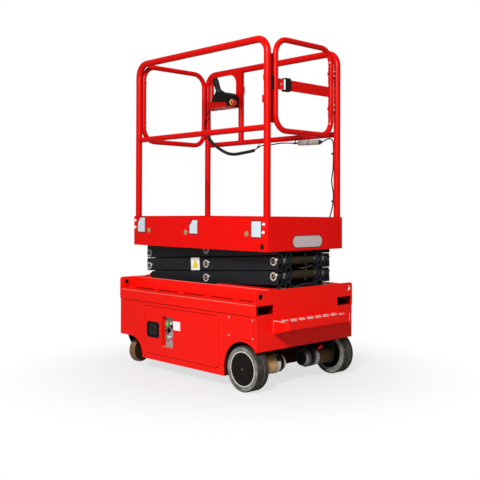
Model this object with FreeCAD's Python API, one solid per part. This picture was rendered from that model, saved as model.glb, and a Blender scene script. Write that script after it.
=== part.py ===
import FreeCAD, Part
import math
import os

V = FreeCAD.Vector
os.makedirs("parts", exist_ok=True)

# Driving sizes in mm. X runs from the caster end to the step and gate end, Y across, Z up from the floor.
chassis_length = 1180.0
chassis_width = 760.0
rim_height = 518.0
sheet = 5.0
body_inset = 5.0
skirt_bottom = 62.0
step_end_bottom = 213.0
caster_end_bottom = 177.0
end_plate = 10.0

pocket_width = 136.0
pocket_height = 57.0
pocket_under_rim = 70.0
pocket_wall = 5.0

trough_inset = 98.0
trough_sheet = 4.0
trough_floor_drop = 3.0
tie_hole_r = 14.0
tie_doubler_r = 24.0
tie_doubler = 12.0
tie_hole_inset = 33.0
tie_hole_drop = 29.0

step_depth = 100.0
step_width = 512.0
step_under_pocket = 29.0
step_front_height = 40.0
step_root_height = 69.0
step_sheet = 4.0
step_corner_r = 22.0

drive_x = 487.0
drive_r = 117.0
drive_width = 78.0
hub_r = 88.0
arch_gap = 22.0
shaft_r = 20.0
gear_r = 49.0
# Each motor steps inwards from its gear head: how far in a step starts, its radius.
motor_steps_left = ((122.0, 51.0), (149.0, 47.0), (167.0, 40.0), (196.0, 0.0))
motor_steps_right = ((126.0, 50.0), (169.0, 51.5), (199.0, 41.0), (225.0, 0.0))
mount_inset = 17.0
mount_thick = 8.0

caster_x = -540.0
caster_arch_x = -480.0
caster_inset = 80.0
caster_r = 74.0
caster_width = 45.0
caster_trail = 38.0
caster_yaw = 81.0
caster_plate = 8.0
kingpin_r = 12.0
axle_r = 8.0

door_x0 = -345.0
door_x1 = 302.0
door_z0 = 97.0
door_under_pocket = 23.0
door_gap = 3.0
door_skin = 4.0
door_depth = 24.0
door_corner_r = 20.0
door_pin_r = 3.0

arm_height = 76.0
arm_width = 40.0
arm_wall = 4.0
arm_half = 537.0
pin_offset = 9.0
arm_clearance = 2.65782
stages = 3
caster_overhang = 25.0
step_overhang = 30.0
arm_corner_cut = 18.0
nose_r = 28.0
pin_r = 18.0
pin_bore = 14.0
pin_head_r = 22.4
boss_r = 27.0
cross_tube_r = 23.0
arms_inside_pockets = 41.0
arm_side_gap = 20.0
lug = 10.0
lug_gap = 5.0
lug_r = 27.0
base_x = -530.0
base_above_floor = 56.5
roller_r = 14.2
roller_width = 28.0
roller_gap = 10.0
track_flange = 3.7
track_length = 435.0

cylinder_x = -330.0
cylinder_drop = 16.5
cylinder_pin_r = 14.0
cylinder_eye_r = 26.0
cylinder_r = 37.0
cylinder_bore = 30.0
cylinder_length = 560.0
cylinder_lug_y = 32.0
rod_r = 22.5
rod_start = 100.0
rod_lug_reach = 95.0

platform_x0 = -567.0
platform_x1 = 587.0
platform_inset = 81.0
toe_below_deck = 72.0
toe_above_deck = 103.0
toe_sheet = 3.0
toe_corner_r = 8.0
toe_hole_r = 15.0
toe_hole_rise = 25.0
deck_above_pins = 46.52654
deck_sheet = 4.0

rail_r = 19.0
rail_wall = 2.5
mid_r = 16.0
brace_r = 18.0
loop_r = 15.0
guard_top = 1828.0
mid_drop = 462.0
rail_bend = 74.0
loop_bend = 84.0
loop_under_mid = 20.0
near_post_x = 563.0
brace_from_middle = 233.0

gate_latch_gap = 58.7
gate_hinge_gap = 53.7
gate_under_mid = 28.0
gate_above_rail = 6.0
gate_plate_drop = 220.0
gate_plate_height = 57.0
shelf_reach = 128.7
shelf_drop = 258.0
hinge_inset = 20.7
hinge_offset = 20.0
hinge_drops = (151.0, 347.0)
hinge_pin_r = 4.0
knuckle_r = 7.5
knuckle = 15.0

slack = 0.05
seat = 0.3

# Sizes that follow from the ones above.
half_length = chassis_length / 2
half_width = chassis_width / 2
body_y = half_width - body_inset
pocket_top = rim_height - pocket_under_rim
pocket_bottom = pocket_top - pocket_height
pocket_in = half_width - pocket_width
trough_floor_top = pocket_top - trough_floor_drop
step_top = pocket_bottom - step_under_pocket
door_z1 = pocket_bottom - door_under_pocket
caster_y = half_width - caster_inset
outer_arm_y = pocket_in - arms_inside_pockets - arm_width
inner_arm_y = outer_arm_y - arm_side_gap - arm_width
roller_y = outer_arm_y + arm_width + roller_gap
fold = math.asin((arm_height + arm_clearance) / (2 * arm_half))
fold_angle = math.degrees(fold)
reach = 2 * arm_half * math.cos(fold)
rise = 2 * arm_half * math.sin(fold)
base_z = trough_floor_top + base_above_floor
cylinder_z = base_z - cylinder_drop
top_z = base_z + stages * rise
deck_bottom = top_z + deck_above_pins
deck_top = deck_bottom + deck_sheet
toe_bottom = deck_bottom - toe_below_deck
toe_top = deck_bottom + toe_above_deck
platform_half_width = half_width - platform_inset
post_y = platform_half_width - toe_sheet - seat - rail_r
mid_top = guard_top - mid_drop
rear_loop_bottom = mid_top - loop_under_mid
gate_bottom = mid_top - gate_under_mid
gate_y0 = gate_latch_gap - post_y
gate_y1 = post_y - gate_hinge_gap
gate_plate_z1 = guard_top - gate_plate_drop
gate_plate_z0 = gate_plate_z1 - gate_plate_height
shelf_y = post_y - shelf_reach
shelf_z = guard_top - shelf_drop
hinge_x = near_post_x - hinge_offset
hinge_y = post_y - hinge_inset
hinge_levels = [guard_top - drop for drop in hinge_drops]
brace_x = (platform_x0 + platform_x1) / 2 - brace_from_middle
shelf_x1 = brace_x + 1
far_post_x = platform_x0 + toe_sheet + seat + rail_r
drive_out = half_width - body_inset
drive_in = drive_out - drive_width
mount_y = drive_in - mount_inset
origin_x = -step_depth / 2


def box(x0, x1, y0, y1, z0, z1):
    return Part.makeBox(x1 - x0, y1 - y0, z1 - z0, V(x0, y0, z0))


def rod(start, end, r):
    along = end - start
    return Part.makeCylinder(r, along.Length, start, along)


def cross_rod(x, z, y0, y1, r):
    return rod(V(x, y0, z), V(x, y1, z), r)


def join(shapes):
    whole = shapes[0]
    if len(shapes) > 1:
        whole = whole.multiFuse(shapes[1:])
    return whole.removeSplitter()


def group(shapes):
    return Part.makeCompound(shapes)


def mirror(shape):
    return shape.mirror(V(0, 0, 0), V(0, 1, 0))


def both_sides(shape):
    return [shape, mirror(shape)]


def plate(plane, outline, at, thick):
    # An outline holds points, and arcs given as a point on the arc and its end.
    place = {"xz": lambda a, b: V(a, at, b), "yz": lambda a, b: V(at, a, b), "xy": lambda a, b: V(a, b, at)}[plane]
    along = {"xz": V(0, thick, 0), "yz": V(thick, 0, 0), "xy": V(0, 0, thick)}[plane]
    edges = []
    here = place(*outline[0])
    for step in outline[1:] + outline[:1]:
        arc = isinstance(step[0], tuple)
        there = place(*(step[1] if arc else step))
        if arc:
            edges.append(Part.Arc(here, place(*step[0]), there).toShape())
        elif (there - here).Length > 1e-6:
            edges.append(Part.makeLine(here, there))
        here = there
    return Part.Face(Part.Wire(edges)).extrude(along)


def rounded(a0, a1, b0, b1, r):
    k = r * (1 - math.sqrt(0.5))
    return [
        (a0 + r, b0), (a1 - r, b0), ((a1 - k, b0 + k), (a1, b0 + r)),
        (a1, b1 - r), ((a1 - k, b1 - k), (a1 - r, b1)),
        (a0 + r, b1), ((a0 + k, b1 - k), (a0, b1 - r)),
        (a0, b0 + r), ((a0 + k, b0 + k), (a0 + r, b0)),
    ]


def turned(profile, centre, axis):
    # A profile of (distance along the axis, radius) is turned into a round solid.
    along = V(axis)
    along.normalize()
    side = V(0, 0, 1) if abs(along.z) < 0.9 else V(1, 0, 0)
    points = [centre + along * a + side * r for a, r in profile]
    return Part.Face(Part.makePolygon(points + points[:1])).revolve(centre, along, 360)


def bent_path(points, bends):
    # Straight runs through the points, each inner corner an arc of its own bend radius.
    edges = []
    here = points[0]
    for i in range(1, len(points) - 1):
        back = points[i - 1] - points[i]
        ahead = points[i + 1] - points[i]
        back.normalize()
        ahead.normalize()
        half = back.getAngle(ahead) / 2
        cut = bends[i - 1] / math.tan(half)
        start = points[i] + back * cut
        end = points[i] + ahead * cut
        inward = back + ahead
        inward.normalize()
        middle = points[i] + inward * (bends[i - 1] / math.sin(half) - bends[i - 1])
        edges.append(Part.makeLine(here, start))
        edges.append(Part.Arc(start, middle, end).toShape())
        here = end
    edges.append(Part.makeLine(here, points[-1]))
    return Part.Wire(edges)


def swept(points, bends, r):
    path = bent_path(points, bends)
    ring = Part.Wire([Part.makeCircle(r, points[0], points[1] - points[0])])
    return path.makePipeShell([ring], True, False)


def pipe(points, bends, r, wall):
    return swept(points, bends, r).cut(swept(points, bends, r - wall))


def loop_points(x, y0, y1, z0, z1):
    middle = (y0 + y1) / 2
    return [V(x, middle, z0), V(x, y1, z0), V(x, y1, z1), V(x, y0, z1), V(x, y0, z0), V(x, middle, z0)]


def side_outline():
    arch_r = drive_r + arch_gap
    arch_left = drive_x - arch_r
    end = half_length - end_plate
    arch_end_z = drive_r + math.sqrt(arch_r ** 2 - (end - drive_x) ** 2)
    caster_arch_r = caster_end_bottom - skirt_bottom
    root = math.sqrt(0.5)
    return [
        (-end, pocket_bottom), (end, pocket_bottom), (end, arch_end_z),
        ((drive_x, drive_r + arch_r), (arch_left, drive_r)),
        (arch_left, skirt_bottom), (caster_arch_x + caster_arch_r, skirt_bottom),
        ((caster_arch_x + caster_arch_r * root, skirt_bottom + caster_arch_r * root),
         (caster_arch_x, caster_end_bottom)),
        (-end, caster_end_bottom),
    ]


def door_pivot():
    return door_x0 + 14, body_y - sheet


def chassis_shell():
    skin = plate("xz", side_outline(), -body_y, sheet)
    opening = rounded(door_x0 - door_gap, door_x1 + door_gap, door_z0 - door_gap, door_z1 + door_gap, door_corner_r)
    skin = skin.cut(plate("xz", opening, -body_y - 1, sheet + 2))
    pivot_x, pivot_y = door_pivot()
    tabs = []
    for z0, z1 in ((door_z0 - door_gap - 10, door_z0 - door_gap), (door_z1 + door_gap, door_z1 + door_gap + 10)):
        tab = box(pivot_x - 12, pivot_x + 12, -body_y, -body_y + 14, z0, z1)
        tabs.append(tab)
    pin_hole = rod(V(pivot_x, -pivot_y, door_z0 - 20), V(pivot_x, -pivot_y, door_z1 + 20), door_pin_r + slack)
    side = join([skin] + tabs).cut(pin_hole)
    inner = body_y - sheet
    arch_left = drive_x - drive_r - arch_gap
    back = caster_arch_x + caster_end_bottom - skirt_bottom
    floor = box(back, arch_left, -inner, inner, skirt_bottom, skirt_bottom + 4)
    front_wall = box(arch_left - sheet, arch_left, -inner, inner, skirt_bottom, pocket_bottom)
    back_wall = box(back, back + sheet, -inner, inner, skirt_bottom, pocket_bottom)
    caster_top = caster_end_bottom + caster_plate
    caster_shelf = box(-half_length + end_plate, back, -inner, inner, caster_end_bottom, caster_top)
    for s in (-1, 1):
        hole = rod(V(caster_x, s * caster_y, 0), V(caster_x, s * caster_y, caster_top + 5), kingpin_r + slack)
        caster_shelf = caster_shelf.cut(hole)
    wheel_box_y = drive_in - 12
    tray = box(arch_left, half_length - end_plate, -wheel_box_y, wheel_box_y, step_end_bottom, step_end_bottom + 4)
    wall = box(arch_left, half_length - end_plate, -wheel_box_y, -wheel_box_y + 4, step_end_bottom, pocket_bottom)
    return join(both_sides(side) + [floor, front_wall, back_wall, caster_shelf, tray] + both_sides(wall))


def fork_pockets():
    outer = box(-half_length + end_plate, half_length - end_plate, -half_width, -pocket_in, pocket_bottom, pocket_top)
    w = pocket_wall
    inner = box(-half_length, half_length, -half_width + w, -pocket_in - w, pocket_bottom + w, pocket_top - w)
    return group(both_sides(outer.cut(inner)))


def end_outline(low):
    r = 14.0
    k = r * (1 - math.sqrt(0.5))
    w = half_width
    b = body_y
    return [
        (-b, low), (b, low), (b, pocket_bottom), (w, pocket_bottom), (w, rim_height - r),
        ((w - k, rim_height - k), (w - r, rim_height)), (-w + r, rim_height),
        ((-w + k, rim_height - k), (-w, rim_height - r)), (-w, pocket_bottom), (-b, pocket_bottom),
    ]


def end_plates():
    plates = []
    for x, low in ((-half_length, caster_end_bottom), (half_length - end_plate, step_end_bottom)):
        whole = plate("yz", end_outline(low), x, end_plate)
        w = pocket_wall
        window = box(x - 1, x + end_plate + 1, -half_width + w, -pocket_in - w, pocket_bottom + w, pocket_top - w)
        y = -half_width + tie_hole_inset
        z = rim_height - tie_hole_drop
        inside = x + end_plate if x < 0 else x - tie_doubler
        ring = rod(V(inside, y, z), V(inside + tie_doubler, y, z), tie_doubler_r)
        whole = join([whole] + both_sides(ring))
        hole = rod(V(x - 20, y, z), V(x + 30, y, z), tie_hole_r)
        for cut in both_sides(window) + both_sides(hole):
            whole = whole.cut(cut)
        plates.append(whole)
    return group(plates)


def lug_plate(x, z, y0, y1, root_z, r, hole_r):
    # A lug rises or hangs from its root level and is round about its hole.
    low = min(root_z, z)
    high = max(root_z, z)
    block = box(x - r, x + r, y0, y1, low, high)
    return join([block, cross_rod(x, z, y0, y1, r)]).cut(cross_rod(x, z, y0 - 1, y1 + 1, hole_r))


def trough():
    end = half_length - end_plate
    wall_y = half_width - trough_inset
    floor = box(-end, end, -pocket_in, pocket_in, trough_floor_top - trough_sheet, trough_floor_top)
    wall = box(-end, end, -wall_y, -wall_y + trough_sheet, pocket_top, rim_height)
    return group([floor] + both_sides(wall))


def base_lugs():
    parts = []
    for y0 in (outer_arm_y - lug_gap - lug, outer_arm_y + arm_width + lug_gap):
        one = lug_plate(base_x, base_z, y0, y0 + lug, trough_floor_top, lug_r, pin_r)
        parts.extend(both_sides(one))
    y0 = cylinder_lug_y
    one = lug_plate(cylinder_x, cylinder_z, y0, y0 + lug, trough_floor_top, cylinder_eye_r, cylinder_pin_r)
    parts.extend(both_sides(one))
    return group(parts)


def pivot_pins(arm_y, x, z):
    y0 = arm_y - lug_gap - lug - 3
    y1 = arm_y + arm_width + lug_gap + lug + 3
    profile = [(y0, pin_bore), (y1, pin_bore), (y1, pin_r - slack), (y0, pin_r - slack)]
    return both_sides(turned(profile, V(x, 0, z), V(0, 1, 0)))


def base_pins():
    y = cylinder_lug_y + lug + 3
    middle = cross_rod(cylinder_x, cylinder_z, -y, y, cylinder_pin_r - slack)
    return group(pivot_pins(outer_arm_y, base_x, base_z) + [middle])


def track(level, web_z, flange_y0):
    # A channel that opens towards the arms. Its web reaches the pocket top or the deck.
    x1 = base_x + reach + 34
    x0 = x1 - track_length
    web_y = roller_y + roller_width + 4
    low = level - roller_r - seat
    high = level + roller_r + seat
    web_low = min(low - track_flange, web_z)
    web_high = max(high + track_flange, web_z)
    web = box(x0, x1, web_y, web_y + 4, web_low, web_high)
    lower = box(x0, x1, flange_y0, web_y, low - track_flange, low)
    upper = box(x0, x1, flange_y0, web_y, high, high + track_flange)
    return join([web, lower, upper])


def lower_tracks():
    return group(both_sides(track(base_z, pocket_top, roller_y - 1)))


def upper_tracks():
    parts = both_sides(track(top_z, deck_bottom, roller_y - 1))
    for y0 in (inner_arm_y - lug_gap - lug, inner_arm_y + arm_width + lug_gap):
        one = lug_plate(base_x, top_z, y0, y0 + lug, deck_bottom, lug_r, pin_r)
        parts.extend(both_sides(one))
    return group(parts)


def platform_pins():
    return group(pivot_pins(inner_arm_y, base_x, top_z))


def access_panels():
    x0 = drive_x - 112
    x1 = drive_x + 85
    one = plate("xz", rounded(x0, x1, 2 * drive_r + arch_gap + 14, pocket_bottom - 7, 8), -body_y - 3, 3)
    return group(both_sides(one))


def step():
    x0 = half_length
    x1 = half_length + step_depth
    w = step_width / 2
    low = step_top - step_root_height
    t = step_sheet

    def plan(edge, r):
        k = r * (1 - math.sqrt(0.5))
        return [
            (x0, -w + edge), (x1 - edge - r, -w + edge), ((x1 - edge - k, -w + edge + k), (x1 - edge, -w + edge + r)),
            (x1 - edge, w - edge - r), ((x1 - edge - k, w - edge - k), (x1 - edge - r, w - edge)), (x0, w - edge),
        ]

    outer = plate("xy", plan(0, step_corner_r), low, step_root_height)
    inner = plate("xy", plan(t, step_corner_r - t), low - 1, step_root_height - t + 1)
    slope = [(x0, low), (x1, step_top - step_front_height), (x1 + 1, low - 1), (x0, low - 1)]
    body = outer.cut(inner).cut(plate("xz", slope, -w - 1, 2 * w + 2))
    rows = ((x0 + 34, 0.0), (x0 + 66, 0.5))
    count = 7
    pitch = (step_width - 70) / count
    for x, shift in rows:
        for i in range(count):
            y = -step_width / 2 + 35 + pitch * (i + 0.25 + shift)
            slot = plate("xy", rounded(x - 8, x + 8, y - 17, y + 17, 7.9), step_top - t - 1, t + 2)
            body = body.cut(slot)
    return body


def door(fittings):
    skin = plate("xz", rounded(door_x0, door_x1, door_z0, door_z1, door_corner_r), -body_y, door_depth)
    w = 3.0
    hollow = rounded(door_x0 + w, door_x1 - w, door_z0 + w, door_z1 - w, door_corner_r - w)
    pan = skin.cut(plate("xz", hollow, -body_y + door_skin, door_depth))
    pivot_x, pivot_y = door_pivot()
    parts = [pan]
    for z0, z1 in ((door_z0 - door_gap - 6, door_z0 + 12), (door_z1 - 12, door_z1 + door_gap + 6)):
        parts.append(rod(V(pivot_x, -pivot_y, z0), V(pivot_x, -pivot_y, z1), door_pin_r))
    if fittings:
        x0, x1, z0, z1 = recess_box()
        deep = recess_depth + 2
        parts.append(plate("xz", rounded(x0 - 2, x1 + 2, z0 - 2, z1 + 2, 6), -body_y, deep))
    whole = join(parts)
    if fittings:
        whole = whole.cut(plate("xz", rounded(x0, x1, z0, z1, 4), -body_y - 1, recess_depth + 1))
        whole = whole.cut(plate("xz", rounded(*socket_box(), 16), -body_y - 1, door_depth))
    return whole


recess_depth = 38.0


def recess_box():
    return door_x0 + 158, door_x0 + 265, door_z0 + 51, door_z1 - 48


def socket_box():
    return door_x0 + 23, door_x0 + 138, door_z1 - 178, door_z1 - 87


def charge_socket():
    x0, x1, z0, z1 = socket_box()
    outer = plate("xz", rounded(x0, x1, z0, z1, 16), -body_y - 1.5, 34)
    inner = plate("xz", rounded(x0 + 9, x1 - 9, z0 + 9, z1 - 9, 9), -body_y - 2, 20)
    middle = ((x0 + x1) / 2, (z0 + z1) / 2)
    boss = rod(V(middle[0], -body_y + 4, middle[1]), V(middle[0], -body_y + 20, middle[1]), 24)
    well = rod(V(middle[0], -body_y + 3, middle[1]), V(middle[0], -body_y + 17, middle[1]), 17)
    return join([outer.cut(inner), boss]).cut(well)


def ground_controls():
    x0, x1, z0, z1 = recess_box()
    back = -body_y + recess_depth
    panel = plate("xz", rounded(x0 + 1, x1 - 1, z0 + 1, z1 - 1, 3), back - 4, 4)
    # Buttons: place along, height, radius, reach.
    buttons = (
        (0.30, 0.73, 13.0, 20.0),
        (0.30, 0.53, 10.0, 24.0),
        (0.30, 0.30, 12.0, 18.0),
        (0.78, 0.29, 12.0, 18.0),
        (0.78, 0.69, 13.0, 24.0),
    )
    parts = [panel]
    for a, b, r, out in buttons:
        x = x0 + a * (x1 - x0)
        z = z0 + b * (z1 - z0)
        parts.append(rod(V(x, back - 4 - out, z), V(x, back - 3, z), r))
    return join(parts)


def battery():
    wide = body_y - door_depth - 21
    return box(door_x0 + 15, door_x0 + 405, -wide, wide, skirt_bottom + 4, pocket_bottom - 91)


def hydraulic_unit():
    wide = body_y - 125
    return box(door_x1 - 192, door_x1 + 18, -wide, wide, skirt_bottom + 4, pocket_bottom - 111)


def tyre():
    w = drive_width
    r = drive_r
    groove = 3.0
    profile = [
        (0, hub_r), (0, r - 6), (2, r - 2), (6, r), (w * 0.36, r), (w * 0.36 + 2, r - groove),
        (w * 0.58, r - groove), (w * 0.58 + 2, r), (w - 6, r), (w - 2, r - 2), (w, r - 6), (w, hub_r),
    ]
    return turned(profile, V(drive_x, -drive_out, drive_r), V(0, 1, 0))


def hub():
    w = drive_width
    profile = [
        (4, 0), (4, hub_r - 12), (1, hub_r - 9), (1, hub_r), (w - 1, hub_r), (w - 1, hub_r - 8), (20, hub_r - 12),
        (20, shaft_r + 12), (w + 4, shaft_r + 12), (w + 4, shaft_r), (w + 36, shaft_r), (w + 36, 0),
    ]
    return turned(profile, V(drive_x, -drive_out, drive_r), V(0, 1, 0))


def drive_motor(steps, side):
    # Each motor is a gear head that narrows or widens in steps to its end cap.
    start = drive_in - 6
    profile = [(start, shaft_r + slack), (start, gear_r)]
    r = gear_r
    for far_in, next_r in steps:
        profile.extend([(start - far_in, r), (start - far_in, next_r)])
        r = next_r
    profile.extend([(start - 34, 0), (start - 34, shaft_r + slack)])
    return turned([(side * a, r) for a, r in profile], V(drive_x, 0, drive_r), V(0, 1, 0))


def motor_mount():
    wide = 58.0
    outline = [
        (drive_x - wide, step_end_bottom), (drive_x - wide, drive_r),
        ((drive_x, drive_r - wide), (drive_x + wide, drive_r)), (drive_x + wide, step_end_bottom),
    ]
    hole = cross_rod(drive_x, drive_r, -mount_y - 1, -mount_y + mount_thick + 1, gear_r + slack)
    return plate("xz", outline, -mount_y, mount_thick).cut(hole)


def caster_fork():
    top = caster_end_bottom
    gap = caster_width / 2 + 4
    leg = 5.0
    crown_z = caster_r * 2 + 12
    crown = rod(V(0, 0, crown_z), V(0, 0, crown_z + 6), 44)
    race = rod(V(0, 0, crown_z + 6), V(0, 0, top - seat), 38)
    pin = rod(V(0, 0, crown_z), V(0, 0, top + caster_plate + 6), kingpin_r)
    outline = [
        (-40, crown_z + 2), (32, crown_z + 2), (24, crown_z - 14), (-caster_trail + 18, caster_r - 4),
        ((-caster_trail, caster_r - 18), (-caster_trail - 18, caster_r)),
    ]
    legs = [plate("xz", outline, y, leg) for y in (gap, -gap - leg)]
    axle = cross_rod(-caster_trail, caster_r, -gap - leg - 5, gap + leg + 5, axle_r)
    return join([crown, race, pin, axle] + legs)


def caster_wheel():
    w = caster_width / 2
    r = caster_r
    profile = [
        (-w, axle_r + slack), (-w, r - 8), (-w + 3, r - 3), (-w + 9, r), (w - 9, r), (w - 3, r - 3), (w, r - 8),
        (w, axle_r + slack),
    ]
    return turned(profile, V(-caster_trail, 0, caster_r), V(0, 1, 0))


def placed_caster(shape, side):
    placed = shape.copy()
    placed.rotate(V(0, 0, 0), V(0, 0, 1), side * caster_yaw)
    placed.translate(V(caster_x, side * caster_y, 0))
    return placed


def nose_cut(y0):
    # The high end of the top falling arms has a round nose, which clears the toe board as the arms tilt.
    r = nose_r
    lean = r * math.sqrt(0.5)
    high = arm_height
    x = 32.0
    middle = math.radians(157.5)
    keep = plate("xz", [
        (x, -high), (x, high), (0, high), (0, r), ((r * math.cos(middle), r * math.sin(middle)), (-lean, -lean)),
        (14, -arm_height / 2 - pin_offset), (14, -high),
    ], y0 - 2, arm_width + 4)
    return box(-caster_overhang - 10, x, y0 - 1, y0 + arm_width + 1, 1 - high, high - 1).cut(keep)


def corner_cut(tip, inward, corner_z, up, wide, tall, y0):
    # A wedge over one corner of an arm's end, a little larger than the corner it takes off.
    low = (tip - 0.3 * inward * wide, corner_z - 1.3 * up * tall)
    high = (tip + 1.3 * inward * wide, corner_z + 0.3 * up * tall)
    return plate("xz", [low, high, (low[0], high[1])], y0 - 1, arm_width + 2)


def arm(y0, rising, cuts, nosed=False):
    # One box-section arm. Its holes lie along X, and its tube leans a little off them so that the arms stack flat.
    # Cuts name the ends whose corner is cut away: end, up or down, width, height.
    h = arm_height / 2
    x0 = -nose_r if nosed else -caster_overhang
    x1 = 2 * arm_half + step_overhang
    outer = plate("yz", rounded(y0, y0 + arm_width, -h, h, 7), x0, x1 - x0)
    w = arm_wall
    inner = plate("yz", rounded(y0 + w, y0 + arm_width - w, -h + w, h - w, 3), x0 - 1, x1 - x0 + 2)
    lean = 1 if rising else -1
    body = outer.cut(inner)
    body.rotate(V(arm_half, 0, 0), V(0, 1, 0), lean * math.degrees(math.asin(pin_offset / arm_half)))
    bosses = [cross_rod(x, 0, y0 + 0.5, y0 + arm_width - 0.5, boss_r) for x in (0, arm_half, 2 * arm_half)]
    body = join([body] + bosses)
    for x in (0, arm_half, 2 * arm_half):
        body = body.cut(cross_rod(x, 0, y0 - 1, y0 + arm_width + 1, pin_r))
    for end, up, wide, tall in cuts:
        tip = x1 if end else x0
        inward = -1 if end else 1
        corner_z = inward * lean * pin_offset + up * h
        body = body.cut(corner_cut(tip, inward, corner_z, up, wide, tall, y0))
    if nosed:
        body = body.cut(nose_cut(y0))
    return body


def set_arm(shape, rising, stage):
    # Rising arms start low at the caster end, falling ones start high there.
    placed = shape.copy()
    placed.rotate(V(0, 0, 0), V(0, 1, 0), -fold_angle if rising else fold_angle)
    start = base_z + rise * (stage - 1 if rising else stage)
    placed.translate(V(base_x, 0, start))
    return placed


def outer_arms(stage):
    cuts = []
    if stage == 1:
        cuts.append((0, -1, arm_corner_cut, arm_corner_cut))
        cuts.append((0, 1, 56.0, 36.0))
    if stage == stages:
        cuts.append((1, 1, arm_corner_cut, arm_corner_cut))
    one = arm(-outer_arm_y - arm_width, True, cuts)
    return group([set_arm(s, True, stage) for s in both_sides(one)])


def inner_arms(stage):
    cuts = []
    if stage == 1:
        cuts.append((1, -1, arm_corner_cut, arm_corner_cut))
    one = arm(-inner_arm_y - arm_width, False, cuts, nosed=stage == stages)
    parts = both_sides(one)
    tubes = [] if stage == stages else [0.0]
    tubes.append(2 * arm_half)
    for x in tubes:
        parts.append(cross_rod(x, 0, -inner_arm_y - 1, inner_arm_y + 1, cross_tube_r))
    if stage == 2:
        parts.extend(both_sides(rod_lug()))
    whole = join(parts)
    for x in tubes:
        whole = whole.cut(cross_rod(x, 0, -inner_arm_y - 2, inner_arm_y + 2, pin_r))
    return set_arm(whole, False, stage)


def rod_lug():
    # A lug for the lift cylinder's head stands off the cross tube at the low end of the second stage.
    y0 = cylinder_lug_y
    x = 2 * arm_half - rod_lug_reach
    web = box(x, 2 * arm_half, y0, y0 + lug, -24, 24)
    head = cross_rod(x, 0, y0, y0 + lug, 26)
    return join([web, head]).cut(cross_rod(x, 0, y0 - 1, y0 + lug + 1, cylinder_pin_r + 1))


def pin_side(start, x, z):
    # Half of a pin: a hollow shank from start out to a flanged head with a keeper tab.
    face = outer_arm_y + arm_width
    end = face + 5
    shank = pin_r - slack
    profile = [(start, pin_bore), (end, pin_bore), (end, pin_head_r), (face, pin_head_r), (face, shank), (start, shank)]
    body = turned(profile, V(x, 0, z), V(0, 1, 0))
    tab = box(x + pin_bore + 1, x + 31, face, face + 3, z + 6, z + 15)
    return join([body, tab])


def arm_pins(stage):
    # Each rising pair carries its centre pins and the long pins at the ends that it shares with the falling pairs.
    low_z = base_z + rise * (stage - 1)
    high_z = low_z + rise
    centre = pin_side(inner_arm_y - 3, base_x + reach / 2, low_z + rise / 2)
    parts = both_sides(centre)
    if stage > 1:
        parts.append(join(both_sides(pin_side(0, base_x, low_z))))
    if stage < stages:
        parts.append(join(both_sides(pin_side(0, base_x + reach, high_z))))
    return group(parts)


def roller_axle(x, z, y0):
    # The axle's thick part sits in the arm and steps down to the roller outside.
    edge = roller_y + roller_width
    profile = [
        (y0, 0), (y0, pin_r - slack), (roller_y - 4, pin_r - slack), (roller_y - 4, 10), (roller_y, 10),
        (roller_y, roller_r - 1), (roller_y + 1, roller_r), (edge - 1, roller_r), (edge, roller_r - 1), (edge, 0),
    ]
    return turned(profile, V(x, 0, z), V(0, 1, 0))


def lower_rollers():
    return join(both_sides(roller_axle(base_x + reach, base_z, 0)))


def upper_rollers():
    return group(both_sides(roller_axle(base_x + reach, top_z, outer_arm_y - 3)))


def rod_pin_place():
    x = base_x + reach - rod_lug_reach * math.cos(fold)
    z = base_z + rise + rod_lug_reach * math.sin(fold)
    return x, z


def cylinder_frame():
    x, z = rod_pin_place()
    length = math.hypot(x - cylinder_x, z - cylinder_z)
    angle = math.degrees(math.atan2(z - cylinder_z, x - cylinder_x))
    return length, angle


def set_cylinder(shape):
    placed = shape.copy()
    placed.rotate(V(0, 0, 0), V(0, 1, 0), -cylinder_frame()[1])
    placed.translate(V(cylinder_x, 0, cylinder_z))
    return placed


def lift_barrel():
    eye = cross_rod(0, 0, -24, 24, cylinder_eye_r)
    end = cylinder_length
    profile = [
        (18, 0), (18, cylinder_r - 8), (44, cylinder_r), (end - 40, cylinder_r),
        (end - 40, cylinder_r + 4), (end, cylinder_r + 4),
        (end, rod_r + slack), (end - 40, rod_r + slack), (end - 40, cylinder_bore), (70, cylinder_bore), (70, 0),
    ]
    body = join([turned(profile, V(0, 0, 0), V(1, 0, 0)), eye])
    return set_cylinder(body.cut(cross_rod(0, 0, -25, 25, cylinder_pin_r)))


def lift_rod():
    length = cylinder_frame()[0]
    start = rod_start
    profile = [
        (start, 0), (start, cylinder_bore - slack), (start + 40, cylinder_bore - slack), (start + 40, rod_r),
        (length - 20, rod_r), (length - 20, 0),
    ]
    body = turned(profile, V(0, 0, 0), V(1, 0, 0))
    eye = cross_rod(length, 0, -18, 18, cylinder_eye_r)
    cross = cross_rod(length, 0, -24, 24, cylinder_pin_r)
    return set_cylinder(join([body, eye, cross]))


def deck():
    edge = toe_sheet
    w = platform_half_width - edge
    outline = rounded(platform_x0 + edge, platform_x1 - edge, -w, w, toe_corner_r - edge)
    return plate("xy", outline, deck_bottom, deck_sheet)


def toe_board():
    w = platform_half_width
    e = toe_sheet
    high = toe_top - toe_bottom
    outer = plate("xy", rounded(platform_x0, platform_x1, -w, w, toe_corner_r), toe_bottom, high)
    inner = rounded(platform_x0 + e, platform_x1 - e, -w + e, w - e, toe_corner_r - e)
    walls = outer.cut(plate("xy", inner, toe_bottom - 1, high + 2))
    return walls.cut(cross_rod(near_post_x - 13, toe_bottom + toe_hole_rise, -w - 1, -w + e + 1, toe_hole_r))


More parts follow.
